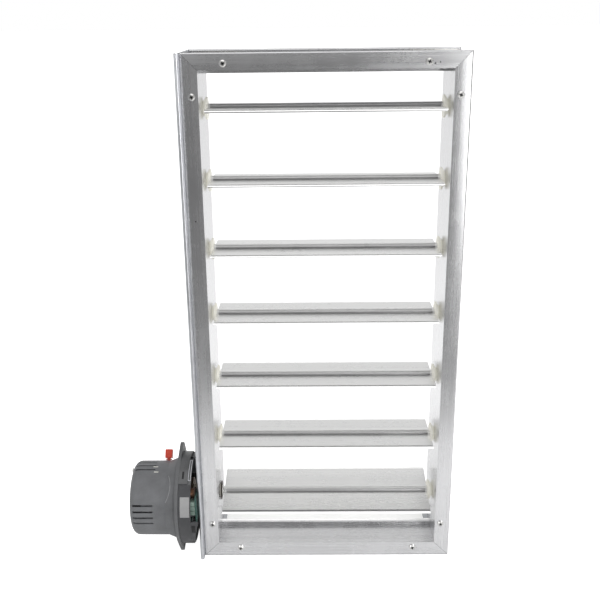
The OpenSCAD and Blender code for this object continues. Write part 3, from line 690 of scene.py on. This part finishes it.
def cylinder(name: str, place: Triple, radius: float, depth: float, vertices: int,
             ends: str = "NGON", rotation: Triple = ALONG_X) -> Piece:
    """A plain cylinder, along X if no other rotation is given.

    Args:
        name: the piece's name.
        place: its middle.
        radius: its radius.
        depth: its length.
        vertices: the number of its sides.
        ends: Blender's name of the kind of end faces.
        rotation: its turn from upright, in radians.

    Returns:
        The cylinder.
    """
    deselect_all()
    bpy.ops.mesh.primitive_cylinder_add(vertices=vertices, radius=radius, depth=depth,
                                        end_fill_type=ends, location=place, rotation=rotation)
    return settle(fresh(name))


def block(name: str, centre: Triple, size: Triple, bevel: float) -> Piece:
    """A block with rounded edges and a shallow panel on its left and front sides.

    Args:
        name: the piece's name.
        centre: its middle.
        size: its lengths along X, Y and Z.
        bevel: the radius of its edges.

    Returns:
        The block.
    """
    piece = cube(name, size, centre)
    apply_modifier(piece, "BEVEL", width=bevel, segments=2)
    select_faces(piece, lambda face: min(face.normal.x, face.normal.y) < -SQUARE_ON)
    bpy.ops.mesh.inset(thickness=bevel, depth=-bevel / 2)
    return settle(piece)


def post(name: str, start: Triple, radius: float, length: float, collar: float) -> Piece:
    """A round post along X whose ends are drawn in to a collar.

    Args:
        name: the piece's name.
        start: the middle of its left end.
        radius: its radius.
        length: its length.
        collar: how far each end face is inset and raised.

    Returns:
        The post.
    """
    middle = (start[0] + length / 2, start[1], start[2])
    piece = cylinder(name, middle, radius, length, POST_FACETS)
    select_faces(piece, lambda face: abs(face.normal.x) > SQUARE_ON)
    bpy.ops.mesh.inset(thickness=collar, use_individual=True)
    bpy.ops.mesh.extrude_region_shrink_fatten(TRANSFORM_OT_shrink_fatten={"value": -collar})
    return settle(piece)


def washer(name: str, place: Triple, outer: float, inner: float, thick: float) -> Piece:
    """A flat ring that faces along X.

    Args:
        name: the piece's name.
        place: its middle.
        outer: its outer radius.
        inner: its inner radius.
        thick: its thickness.

    Returns:
        The ring.
    """
    piece = cylinder(name, place, outer, thick, WASHER_FACETS)
    select_faces(piece, lambda face: abs(face.normal.x) > SQUARE_ON)
    bpy.ops.mesh.inset(thickness=outer - inner, use_individual=True)
    bpy.ops.mesh.bridge_edge_loops()
    apply_modifier(piece, "BEVEL", width=thick / 5, segments=2, limit_method="ANGLE")
    return settle(piece)


def arc_sheet(name: str, span: Pair, centre: Pair, radius: float, arc: Pair, thick: float,
              hollow: float = 0.0) -> Piece:
    """A thin sheet that follows a round side whose axis runs along X.

    Args:
        name: the piece's name.
        span: its left and right end along X.
        centre: the round side's axis, along Y and Z.
        radius: the sheet's inner radius.
        arc: its first and last angle from +Y toward +Z, in degrees.
        thick: its thickness.
        hollow: width of the rim that stays when its middle is cut out, or zero.

    Returns:
        The sheet.
    """
    piece = cylinder(name, (sum(span) / 2, *centre), radius, span[1] - span[0], SHEET_FACETS,
                     "NOTHING")
    middle = math.radians(sum(arc) / 2)
    half = math.radians((arc[1] - arc[0]) / 2)

    def outside(face: bmesh.types.BMFace) -> bool:
        """Tell whether a face lies beyond the arc.

        Args:
            face: a face of the cylinder.

        Returns:
            True if it does.
        """
        at = face.calc_center_median()
        angle = math.atan2(at.z - centre[1], at.y - centre[0])
        return abs((angle - middle + math.pi) % (2 * math.pi) - math.pi) > half

    select_faces(piece, outside)
    bpy.ops.mesh.delete(type="FACE")
    if hollow:
        bpy.ops.mesh.select_all(action="SELECT")
        bpy.ops.mesh.inset(thickness=hollow)
        bpy.ops.mesh.delete(type="FACE")
    apply_modifier(piece, "SOLIDIFY", thickness=thick, offset=1.0)
    if thick > BEVEL_FROM:
        apply_modifier(piece, "BEVEL", width=SHEET_BEVEL, segments=1, limit_method="ANGLE")
    return settle(piece)


# The damper's pieces

@dataclass
class FrameAssembly:
    """The mitred frame, its brackets, screws, stops and side plate."""

    finishes: Finishes
    rails: tuple[str, ...] = ("frame_top", "frame_bottom", "top_stop", "bottom_stop")
    jambs: tuple[str, ...] = ("frame_left", "frame_right")
    screws: tuple[str, ...] = ("corner_brackets", "frame_screws")
    frame_w: float = 305.0 * MM
    frame_h: float = 610.0 * MM
    frame_d: float = 85.0 * MM
    nicks: tuple[Pair, ...] = ((113.5, 597.2), (118.7, 598.4), (-143.6, 431.0))
    nick_r: float = 0.7 * MM
    nick_facets: int = 16
    nick_thick: float = 0.2 * MM
    nick_rim: float = 0.25 * MM
    nick_dish: float = 0.12 * MM
    screw_from_corner: float = 45.0 * MM
    screw_edge: float = 11.0 * MM
    recess_turn: float = 20.0
    recess_w: float = 1.4 * MM
    recess_arm: float = 1.3 * MM
    recess_thick: float = 0.1 * MM
    recess_depth: float = 0.66 * MM
    # A ring of painted shade round the drive shaft on the left wall.
    shade_ring_at: Triple = (-133.1 * MM, 42.0 * MM, 68.5 * MM)
    shade_ring_r: float = 12.0 * MM
    shade_ring_hole_r: float = 4.6 * MM
    shade_ring_thick: float = 0.5 * MM
    mitre_run: float = 18.0 * MM
    mitre_w: float = 0.45 * MM
    mitre_thick: float = 0.06 * MM
    mitre_lift: float = 0.02 * MM
    mitre_narrow: float = 0.5
    # The white strip is a painted reflection on the bottom rail.
    strip_at: Triple = (-1.0 * MM, 64.5 * MM, 18.15 * MM)
    strip_size: Triple = (257.0 * MM, 33.0 * MM, 0.2 * MM)
    strip_round: float = 5.0 * MM
    # Grey sheets beside the walls, a painted reflection of the side walls in the rail.
    pad_x: float = 130.9 * MM
    pad_z: float = 18.12 * MM
    pad_size: Triple = (6.4 * MM, 33.0 * MM, 0.14 * MM)
    pad_bevel: float = 0.03 * MM

    def dress(self) -> None:
        """Put the finishes on the CAD pieces."""
        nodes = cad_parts
        for name in self.rails:
            self.finishes.dress(nodes[name], "rail_aluminium")
        for name in self.jambs:
            self.finishes.dress(nodes[name], "jamb_aluminium")
        for name in self.screws:
            self.finishes.dress(nodes[name], "plated_steel")
        self.finishes.dress(nodes["side_plate"], "sheet_steel")
        self.finishes.dress(nodes["side_hem"], "sheet_steel")
        self.finishes.dress(nodes["sill_seal"], "white_vinyl")
        self.finishes.dress(nodes["bushings"], "ivory_plastic")

    def punch_marks(self) -> None:
        """Small dark punch marks in the front faces, each a dished disc."""
        made = []
        for x, z in self.nicks:
            disc = cylinder("mark", (x * MM, -self.nick_thick / 2, z * MM), self.nick_r,
                            self.nick_thick, self.nick_facets, rotation=ALONG_Y)
            select_faces(disc, lambda face: face.normal.y < -SQUARE_ON)
            bpy.ops.mesh.inset(thickness=self.nick_rim)
            bpy.ops.transform.translate(value=(0, self.nick_dish, 0))
            made.append(disc)
        marks = settle(join(made, "frame_punch_marks"))
        self.finishes.dress(marks, "dark_mark_and_shade")
        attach(marks, "frame")

    def recess_cross(self, place: Triple, turn: float) -> Piece:
        """The painted shade on the floor of one cross recess: a square drawn out to four arms.

        Args:
            place: its middle.
            turn: its turn about Y in degrees.

        Returns:
            The cross.
        """
        cross = cube("cross", (self.recess_w, self.recess_thick, self.recess_w))
        select_faces(cross, lambda face: abs(face.normal.y) < 1 - SQUARE_ON)
        bpy.ops.mesh.extrude_faces_move(TRANSFORM_OT_shrink_fatten={"value": self.recess_arm})
        deselect_all()
        cross.rotation_euler = (0, math.radians(turn), 0)
        cross.location = place
        return settle(cross)

    def recess_shade(self) -> None:
        """Painted shade on the recess floors of the sixteen corner screws."""
        spots = ((self.screw_from_corner, self.screw_edge),
                 (self.screw_edge, self.screw_from_corner))
        made = []
        for side, end, (along, up) in itertools.product(SIDES, SIDES, spots):
            x = side * (self.frame_w / 2 - along)
            z = self.frame_h / 2 + end * (self.frame_h / 2 - up)
            for y in (-self.recess_depth, self.frame_d + self.recess_depth):
                made.append(self.recess_cross((x, y, z), side * end * self.recess_turn))
        floors = settle(join(made, "screw_recess_shade"))
        self.finishes.dress(floors, "dark_mark_and_shade")
        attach(floors, "frame")

    def shaft_shade_ring(self) -> None:
        """A dark ring of painted shade round the drive shaft on the left jamb's wall."""
        ring = washer("drive_shaft_shade_ring", self.shade_ring_at, self.shade_ring_r, self.shade_ring_hole_r,
                      self.shade_ring_thick)
        self.finishes.dress(ring, "dark_brown_and_shade")
        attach(ring, "frame")

    def mitre_lines(self) -> None:
        """Thin dark lines that lie along the eight mitres, front and rear."""
        made = []
        run = (self.mitre_run - self.mitre_w) * math.sqrt(2)
        depths = (-self.mitre_lift, self.frame_d + self.mitre_lift)
        for side, end, y in itertools.product(SIDES, SIDES, depths):
            line = cube("line", (run, self.mitre_thick, self.mitre_w))
            select_faces(line, lambda face: abs(face.normal.x) > SQUARE_ON)
            bpy.ops.transform.resize(value=(1.0, 1.0, self.mitre_narrow))
            deselect_all()
            line.rotation_euler = (0, math.radians(-45 * side * end), 0)
            line.location = (side * (self.frame_w - self.mitre_run) / 2, y,
                             self.frame_h / 2 + end * (self.frame_h - self.mitre_run) / 2)
            made.append(settle(line))
        lines = settle(join(made, "mitre_lines"))
        self.finishes.dress(lines, "dark_mark_and_shade")
        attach(lines, "frame")

    def sill_painted_reflection(self) -> None:
        """A white strip with rounded corners on the bottom rail behind the stop, which with its
        glow paints the rail's reflection of the pale backdrop.
        """
        strip = cube("sill_painted_reflection", self.strip_size, self.strip_at)
        pick(strip)
        bpy.ops.object.mode_set(mode="EDIT")
        bpy.ops.mesh.select_mode(type="EDGE")
        mesh = bmesh.from_edit_mesh(strip.data)
        for edge in mesh.edges:
            run = edge.verts[0].co - edge.verts[1].co
            edge.select_set(abs(run.z) > self.strip_size[2] / 2)
        bmesh.update_edit_mesh(strip.data)
        bpy.ops.mesh.bevel(offset=self.strip_round, segments=6)
        settle(strip)
        self.finishes.dress(strip, "white_vinyl")
        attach(strip, "frame")

    def sill_wall_reflections(self) -> None:
        """Grey sheets on the bottom rail at the white strip's two ends, which paint the side
        walls' reflection in the rail.
        """
        made = [block("pad", (side * self.pad_x, self.strip_at[1], self.pad_z), self.pad_size,
                      self.pad_bevel) for side in SIDES]
        pads = settle(join(made, "sill_wall_reflections"))
        self.finishes.dress(pads, "motor_can")
        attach(pads, "frame")

    def build(self) -> None:
        """Dress the CAD pieces and add the small ones."""
        self.dress()
        self.punch_marks()
        self.recess_shade()
        self.shaft_shade_ring()
        self.mitre_lines()
        self.sill_painted_reflection()
        self.sill_wall_reflections()
        log.info("frame dressed")


@dataclass
class BladeAssembly:
    """One blade with its caps, seals, shafts and crank. The actuator drives the lowest one."""

    finishes: Finishes
    number: int
    pitch: float = 80.1 * MM
    lowest_z: float = 68.5 * MM
    axis_y: float = 42.0 * MM
    tilt: float = -2.0
    driven_tilt: float = 13.0
    tube_r: float = 5.5 * MM
    half_length: float = 126.5 * MM
    sheet_gap: float = 0.01 * MM
    sheet_thick: float = 0.06 * MM
    # Arcs of the painted shade band and of the painted crease shadow on the tube.
    painted_shade_arc: Pair = (118.0, 157.0)
    crease_shadow_arc: Pair = (157.0, 173.0)
    collar_x: float = -131.7 * MM
    collar_r: float = 6.5 * MM
    collar_hole_r: float = 4.1 * MM
    collar_thick: float = 1.6 * MM

    @property
    def driven(self) -> bool:
        """True for the lowest blade."""
        return self.number == BLADES

    @property
    def axis_z(self) -> float:
        """Height of the blade's axis."""
        return self.lowest_z + (BLADES - self.number) * self.pitch

    @property
    def body(self) -> str:
        """Name of the body that the blade is part of."""
        return "drive_blade" if self.driven else f"blade_{self.number}"

    def dress(self) -> None:
        """Put the finishes on the CAD pieces."""
        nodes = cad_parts
        self.finishes.dress(nodes[f"blade_{self.number}"], "blade_aluminium")
        self.finishes.dress(nodes[f"end_caps_{self.number}"], "ivory_plastic")
        self.finishes.dress(nodes[f"seals_{self.number}"], "seal_vinyl")
        shaft = "drive_shaft" if self.driven else f"shafts_{self.number}"
        crank = "drive_crank" if self.driven else f"crank_{self.number}"
        self.finishes.dress(nodes[shaft], "shaft_steel")
        self.finishes.dress(nodes[crank], "plated_steel")

    def tube_sheet(self, part: str, arc: Pair) -> None:
        """A thin sheet of painted shade on the tube's front, which turns with the blade.

        Args:
            part: the last part of the piece's name, and the finish's name.
            arc: its first and last angle from the blade's rear, in degrees.
        """
        tilt = self.driven_tilt if self.driven else self.tilt
        sheet = arc_sheet(f"blade_{self.number}_{part}", (-self.half_length, self.half_length),
                          (self.axis_y, self.axis_z), self.tube_r + self.sheet_gap,
                          (arc[0] + tilt, arc[1] + tilt), self.sheet_thick)
        self.finishes.dress(sheet, part)
        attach(sheet, self.body)

    def collar(self) -> None:
        """The bright collar on the drive shaft, between the ring of painted shade and the blade.
        """
        ring = washer("drive_shaft_collar", (self.collar_x, self.axis_y, self.axis_z),
                      self.collar_r, self.collar_hole_r, self.collar_thick)
        self.finishes.dress(ring, "plated_steel")
        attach(ring, self.body)

    def build(self) -> None:
        """Dress the CAD pieces and add the painted shade band on the tube and the painted shadow
        in the crease below it.
        """
        self.dress()
        if self.driven:
            self.collar()
        self.tube_sheet("tube_painted_shade", self.painted_shade_arc)
        self.tube_sheet("tube_crease_shadow", self.crease_shadow_arc)
        log.info("blade %d dressed", self.number)


@dataclass(frozen=True)
class Wrap:
    """A thin piece on one of the actuator's round sides.

    Its span along X, its lift off the side, its thickness and the width of the rim that stays
    when its middle is cut out are in mm. Its arc is in degrees from +Y toward +Z.
    """

    name: str
    span: Pair
    arc: Pair
    lift: float
    thick: float
    finish: str
    slot: str = "dark_plastic"
    hollow: float = 0.0


@dataclass(frozen=True)
class Brick:
    """A rounded block: its middle, its lengths and its edge radius, in mm."""

    centre: Triple
    size: Triple
    bevel: float


@dataclass(frozen=True)
class Rod:
    """A round post: the middle of its left end, its radius, length and collar, in mm."""

    start: Triple
    radius: float
    length: float
    collar: float = 0.3


@dataclass
class Actuator:
    """The round actuator: housing, label, board detail and gears. Its lengths are in mm."""

    finishes: Finishes
    axis: Pair = (31.0, 65.0)
    base_r: float = 56.0
    cover_r: float = 46.0
    shells: tuple[Wrap, ...] = (
        Wrap("housing_upper_shell", (-179.9, -168.8), (58, 133), 0.02, 1.9, "housing_light"),
        Wrap("housing_lower_shell", (-179.9, -165.1), (133.6, 238), 0.02, 0.5, "housing_dark"),
        # A near-black sheet that paints the shade inside the slot.
        Wrap("housing_slot", (-176.0, -173.6), (117, 127.5), 1.93, 0.06, "dark_mark_and_shade"),
        Wrap("actuator_label", (-177.4, -166.0), (148.5, 174.0), 0.56, 0.12, "label_white",
             "white_vinyl"),
        Wrap("spring_clip_loop", (-168.6, -165.2), (97, 129), 0.05, 1.0, "motor_can",
             "plated_steel", 0.8),
        Wrap("cable_tie", (-168.4, -165.3), (76, 92), 0.05, 2.6, "chip_black", hollow=0.9),
    )
    ribs: int = 5
    rib_pitch: float = 2.1
    rib: Wrap = Wrap("housing_rib", (-179.2, -178.6), (84, 115), 1.93, 0.35, "housing_light")
    tongue: Wrap = Wrap("housing_tongue", (-165.0, -156.2), (181, 237), -2.3, 2.4, "housing_dark")
    tongue_cut_z: float = 62.0
    tongue_cut_toward: Triple = (0.98, 0.0, -0.195)
    # A near-black sheet that paints the shade inside the window.
    window: Wrap = Wrap("tongue_window", (-164.2, -159.6), (186, 198), 0.12, 0.06, "dark_mark_and_shade")
    # Two painted glints beside the upper vents, as thin light marks.
    painted_glints: tuple[Pair, ...] = ((-215.5, 95.5), (-213.6, 107.5))
    cover_rib_length: float = 5.5
    cover_rib_thick: float = 0.25
    cover_rib_lift: float = 0.02
    mark_half: float = 0.4
    crease: tuple[Pair, ...] = ((116.5, -194.4), (131.0, -191.4), (157.0, -196.7))
    crease_thick: float = 0.2
    crease_lift: float = 0.05
    flare_x: float = -197.0
    flare_slope: float = 0.41
    turns: int = 7
    turn_at: Triple = (-170.5, -6.0, 93.0)
    turn_pitch: float = 1.45
    turn_r: float = 5.6
    wire_r: float = 0.75
    bobbin: tuple[Rod, ...] = (
        Rod((-172.6, -6.0, 93.0), 7.6, 1.2),
        Rod((-160.9, -6.0, 93.0), 7.6, 1.2),
        Rod((-181.0, -6.0, 93.0), 4.6, 21.5, 0.4),
    )
    board_posts: tuple[Rod, ...] = (
        Rod((-181.0, -13.0, 66.0), 1.6, 21.3),
        Rod((-181.0, 0.5, 66.0), 1.6, 21.3),
    )
    terminals: int = 3
    terminal_pitch: float = 6.2
    terminal: Brick = Brick((-163.2, -13.6, 72.0), (7.0, 9.0, 5.6), 0.4)
    terminal_screw: Rod = Rod((-167.6, -13.6, 72.0), 1.9, 1.4, 0.4)
    board: Brick = Brick((-158.9, -7.5, 77.0), (1.4, 22.0, 34.0), 0.2)
    chip: Brick = Brick((-161.2, -14.0, 61.0), (3.0, 8.0, 7.0), 0.3)
    plan: dict[str, str] = field(default_factory=lambda: {
        "actuator_base": "base_plastic", "actuator_cover": "dark_plastic",
        "cover_screws": "plated_steel", "actuator_bracket": "sheet_steel",
        "release_lever": "red_plastic", "drive_gear": "gear_plastic",
        "idler_gear": "gear_plastic", "motor_pinion": "brass", "motor": "motor_can",
        "return_spring": "spring_steel", "circuit_board": "board_green",
        "terminal_block": "terminal_green", "link_bar": "plated_steel"})

    def dress(self) -> None:
        """Put the finishes on the CAD pieces."""
        for name, finish in self.plan.items():
            self.finishes.dress(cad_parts[name], finish)

    def place(self, piece: Piece, finish: str, slot: str) -> None:
        """Dress a piece and let it ride on the frame.

        Args:
            piece: the new piece.
            finish: the finish's name.
            slot: not used.
        """
        self.finishes.dress(piece, finish)
        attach(piece, "frame")

    def wrap(self, wrap: Wrap, radius: float) -> Piece:
        """Make and dress a thin piece that follows a round side.

        Args:
            wrap: its name, place, sizes and looks.
            radius: the round side's radius in mm.

        Returns:
            The piece.
        """
        piece = arc_sheet(wrap.name, in_metres(wrap.span), in_metres(self.axis),
                          (radius + wrap.lift) * MM, wrap.arc, wrap.thick * MM, wrap.hollow * MM)
        self.place(piece, wrap.finish, wrap.slot)
        return piece

    def housing(self) -> None:
        """The base's raised shells, its slot of painted shade, its label, its loop, its tie and
        its ribs.
        """
        for shell in self.shells:
            self.wrap(shell, self.base_r)
        for index in range(self.ribs):
            span = tuple(x + self.rib_pitch * index for x in self.rib.span)
            self.wrap(replace(self.rib, name=f"{self.rib.name}_{index + 1}", span=span),
                      self.base_r)

    def skirt(self) -> None:
        """The lower shell's tongue toward the side plate, cut off aslant, with a square window of
        painted shade.
        """
        tongue = self.wrap(self.tongue, self.base_r)
        pick(tongue)
        bpy.ops.object.mode_set(mode="EDIT")
        bpy.ops.mesh.select_all(action="SELECT")
        corner = (self.tongue.span[1], self.axis[0], self.tongue_cut_z)
        bpy.ops.mesh.bisect(plane_co=in_metres(corner), plane_no=self.tongue_cut_toward,
                            clear_outer=True, use_fill=True)
        settle(tongue)
        self.wrap(self.window, self.base_r)

    def crease_x(self, angle: float) -> float:
        """Where the crease on the cover's flare runs, as a parabola through three places.

        Args:
            angle: degrees from +Y toward +Z.

        Returns:
            The place along X in mm.
        """
        (a, low), (b, middle), (c, high) = self.crease
        return (low * (angle - b) * (angle - c) / ((a - b) * (a - c))
                + middle * (angle - a) * (angle - c) / ((b - a) * (b - c))
                + high * (angle - a) * (angle - b) / ((c - a) * (c - b)))

    def cover_marks(self) -> None:
        """The cover's raised crease on its flare, made lighter as a painted highlight, and two
        light marks beside the upper vents, which are painted glints.
        """
        half = self.mark_half
        for index, (start, angle) in enumerate(self.painted_glints):
            self.wrap(Wrap(f"cover_rib_{index + 1}", (start, start + self.cover_rib_length),
                           (angle - half, angle + half), self.cover_rib_lift,
                           self.cover_rib_thick, "ivory_plastic"), self.cover_r)
        parts = []
        first, last = self.crease[0][0], self.crease[-1][0]
        for step in range(int(last - first) + 1):
            angle = first + step
            x = self.crease_x(angle)
            radius = self.cover_r + max(0.0, (x - self.flare_x) * self.flare_slope)
            parts.append(arc_sheet("crease", in_metres((x - half, x + half)),
                                   in_metres(self.axis), (radius + self.crease_lift) * MM,
                                   (angle - half, angle + half), self.crease_thick * MM))
        self.place(settle(join(parts, "cover_crease_highlight")), "crease_highlight", "dark_plastic")

    def rods(self, name: str, rods: Iterable[Rod], finish: str, slot: str) -> None:
        """Join round posts to one dressed piece.

        Args:
            name: the piece's name.
            rods: the posts.
            finish: the finish's name.
            slot: the frame's material slot.
        """
        made = [post("rod", in_metres(rod.start), rod.radius * MM, rod.length * MM,
                     rod.collar * MM) for rod in rods]
        self.place(settle(join(made, name)), finish, slot)

    def coil(self) -> None:
        """A relay coil in the open side: windings of copper between two dark end plates."""
        made = []
        x, y, z = self.turn_at
        for index in range(self.turns):
            deselect_all()
            bpy.ops.mesh.primitive_torus_add(
                major_segments=36, minor_segments=10, major_radius=self.turn_r * MM,
                minor_radius=self.wire_r * MM, rotation=ALONG_X,
                location=in_metres((x + self.turn_pitch * index, y, z)))
            made.append(fresh("turn"))
        self.place(settle(join(made, "relay_winding")), "copper_wire", "brass")
        self.rods("relay_bobbin", self.bobbin, "dark_brown_and_shade", "dark_plastic")

    def bricks(self, name: str, bricks: Iterable[Brick], finish: str, slot: str) -> None:
        """Join rounded blocks to one dressed piece.

        Args:
            name: the piece's name.
            bricks: the blocks.
            finish: the finish's name.
            slot: the frame's material slot.
        """
        made = [block("brick", in_metres(brick.centre), in_metres(brick.size), brick.bevel * MM)
                for brick in bricks]
        self.place(settle(join(made, name)), finish, slot)

    def front_board(self) -> None:
        """A small upright board near the side plate, on two posts, with its terminals."""
        self.bricks("front_board", [self.board], "board_green", "circuit_board")
        self.rods("front_board_posts", self.board_posts, "dark_plastic", "dark_plastic")
        x, y, low = self.terminal.centre
        screw_x = self.terminal_screw.start[0]
        heights = [low + self.terminal_pitch * index for index in range(self.terminals)]
        self.bricks("front_terminals",
                    [replace(self.terminal, centre=(x, y, z)) for z in heights],
                    "terminal_grey", "terminal_plastic")
        self.rods("front_terminal_screws",
                  [replace(self.terminal_screw, start=(screw_x, y, z)) for z in heights],
                  "plated_steel", "plated_steel")
        self.bricks("front_chip", [self.chip], "chip_black", "dark_plastic")

    def build(self) -> None:
        """Dress the CAD pieces and add the small ones."""
        self.dress()
        self.housing()
        self.skirt()
        self.cover_marks()
        self.coil()
        self.front_board()
        log.info("actuator dressed")


# Studio

@dataclass(frozen=True)
class Lamp:
    """A soft box: its place, the point that it faces, its edge in metres and its watts."""

    name: str
    place: Triple
    aim: Triple
    size: float
    power: float


@dataclass
class Studio:
    """Pale floor, soft light and the camera at the photograph's viewing angle."""

    lens: float = 51.58
    sensor: float = 36.0
    place: Triple = (-0.0169, -0.9237, 0.6518)
    pitch: float = 18.70
    yaw: float = -0.79
    roll: float = -0.63
    seen_glow: float = 0.9
    near_glow: float = 0.11
    rear_glow: float = 0.40
    dim_floor: float = 0.25
    floor_edge: float = -0.40
    floor_fade: float = 0.12
    floor_size: float = 60.0
    floor_drop: float = 0.5 * MM
    paper: Pair = (0.90, 0.93)
    paper_rough: float = 0.9
    paper_scale: float = 3.0
    glow_reach: float = 0.5
    horizon: float = 1.15
    upper: float = 0.76
    room_dim: float = 0.30
    room_top: float = 0.50
    wall_half: float = 0.25
    room_span: Pair = (0.1, 0.9)
    climb_span: Pair = (0.05, 0.35)
    clip: Pair = (0.01, 50.0)
    lamps: tuple[Lamp, ...] = (
        Lamp("top_box", (0.0, -0.2, 2.6), (0.0, 0.1, 0.2), 2.2, 14.0),
        Lamp("right_box", (0.85, -1.05, 0.5), (0.1, 0.0, 0.35), 0.9, 10.0),
        Lamp("left_box", (-0.9, -0.95, 0.85), (-0.1, 0.0, 0.50), 0.6, 3.6),
    )

    def camera(self) -> None:
        """Place the camera."""
        pitch, yaw, roll = (math.radians(a) for a in (self.pitch, self.yaw, self.roll))
        ahead = Vector((math.sin(yaw) * math.cos(pitch), math.cos(yaw) * math.cos(pitch),
                        -math.sin(pitch)))
        right = Vector((math.cos(yaw), -math.sin(yaw), 0.0))
        up = right.cross(ahead)
        right_2 = math.cos(roll) * right + math.sin(roll) * up
        up_2 = -math.sin(roll) * right + math.cos(roll) * up
        data = bpy.data.cameras.new("photo_camera")
        data.lens = self.lens
        data.sensor_width = self.sensor
        data.clip_start, data.clip_end = self.clip
        camera = bpy.data.objects.new("photo_camera", data)
        turn = Matrix((right_2, up_2, -ahead)).transposed()
        camera.matrix_world = Matrix.Translation(Vector(self.place)) @ turn.to_4x4()
        bpy.context.collection.objects.link(camera)
        bpy.context.scene.camera = camera

    def floor(self) -> None:
        """A plain pale floor, lit from within, which looks dim far in front of the damper."""
        deselect_all()
        bpy.ops.mesh.primitive_plane_add(size=self.floor_size, location=(0, 0, -self.floor_drop))
        floor = fresh("studio_floor")
        settle(floor)
        material, tree, shader, coords = start_material("studio_paper")
        seen = tree.add("LightPath").outputs["Is Camera Ray"]
        noise = tree.noise(coords.outputs["Object"], self.paper_scale)
        depth = tree.add("SeparateXYZ", in_Vector=coords.outputs["Object"]).outputs["Y"]
        near = tree.math("MAXIMUM", seen, tree.remap(depth, self.floor_edge - self.floor_fade,
                                                     self.floor_edge + self.floor_fade))
        paper = tree.mix(noise, grey(self.paper[0]), grey(self.paper[1]))
        tree.feed(shader, "Base Color", tree.mix(near, grey(self.dim_floor), paper))
        shader.inputs["Roughness"].default_value = self.paper_rough
        glow = tree.remap(depth, 0.0, self.glow_reach, self.near_glow, self.rear_glow)
        glow = tree.times(near, tree.math("MAXIMUM", glow, tree.times(seen, self.seen_glow)))
        tree.feed(shader, "Emission Color", tree.mix(glow, BLACK, WHITE))
        shader.inputs["Emission Strength"].default_value = 1.0
        floor.data.materials.append(material)

    def hang(self, lamp: Lamp) -> None:
        """Hang one soft box.

        Args:
            lamp: the box to hang.
        """
        data = bpy.data.lights.new(lamp.name, "AREA")
        data.shape = "SQUARE"
        data.size = lamp.size
        data.energy = lamp.power
        box = bpy.data.objects.new(lamp.name, data)
        box.location = lamp.place
        ahead = Vector(lamp.aim) - Vector(lamp.place)
        box.rotation_euler = ahead.to_track_quat("-Z", "Y").to_euler()
        bpy.context.collection.objects.link(box)

    def world(self) -> None:
        """A white backdrop behind the damper and a dimmer room before it."""
        world = bpy.data.worlds.new("pale_room")
        world.use_nodes = True
        tree = Tree(world.node_tree)
        back = world.node_tree.nodes["Background"]
        coords = tree.add("TexCoord")
        axes = tree.add("SeparateXYZ", in_Vector=coords.outputs["Generated"])
        behind = tree.remap(axes.outputs["Y"], -self.wall_half, self.wall_half)
        above = tree.remap(axes.outputs["Z"], *self.room_span)
        climb = tree.remap(axes.outputs["Z"], *self.climb_span)
        room = tree.mix(above, grey(self.room_dim), grey(self.room_top))
        screen = tree.mix(climb, grey(self.horizon), grey(self.upper))
        light = tree.mix(behind, room, screen)
        seen = tree.add("LightPath").outputs["Is Camera Ray"]
        tree.feed(back, "Color", tree.mix(seen, light, WHITE))
        back.inputs["Strength"].default_value = 1.0
        bpy.context.scene.world = world

    def build(self) -> None:
        """Set up the whole studio."""
        bpy.context.scene.view_settings.view_transform = "Standard"
        self.world()
        self.floor()
        for lamp in self.lamps:
            self.hang(lamp)
        self.camera()


def main() -> None:
    """Build the studio and every assembly, and report each."""
    logging.basicConfig(level=logging.INFO, format="%(name)s: %(message)s")
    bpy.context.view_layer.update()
    Studio().build()
    finishes = Finishes()
    FrameAssembly(finishes).build()
    for number in range(1, BLADES + 1):
        BladeAssembly(finishes, number).build()
    Actuator(finishes).build()
    log.info("boxes written")


if __name__ == "__main__":
    main()
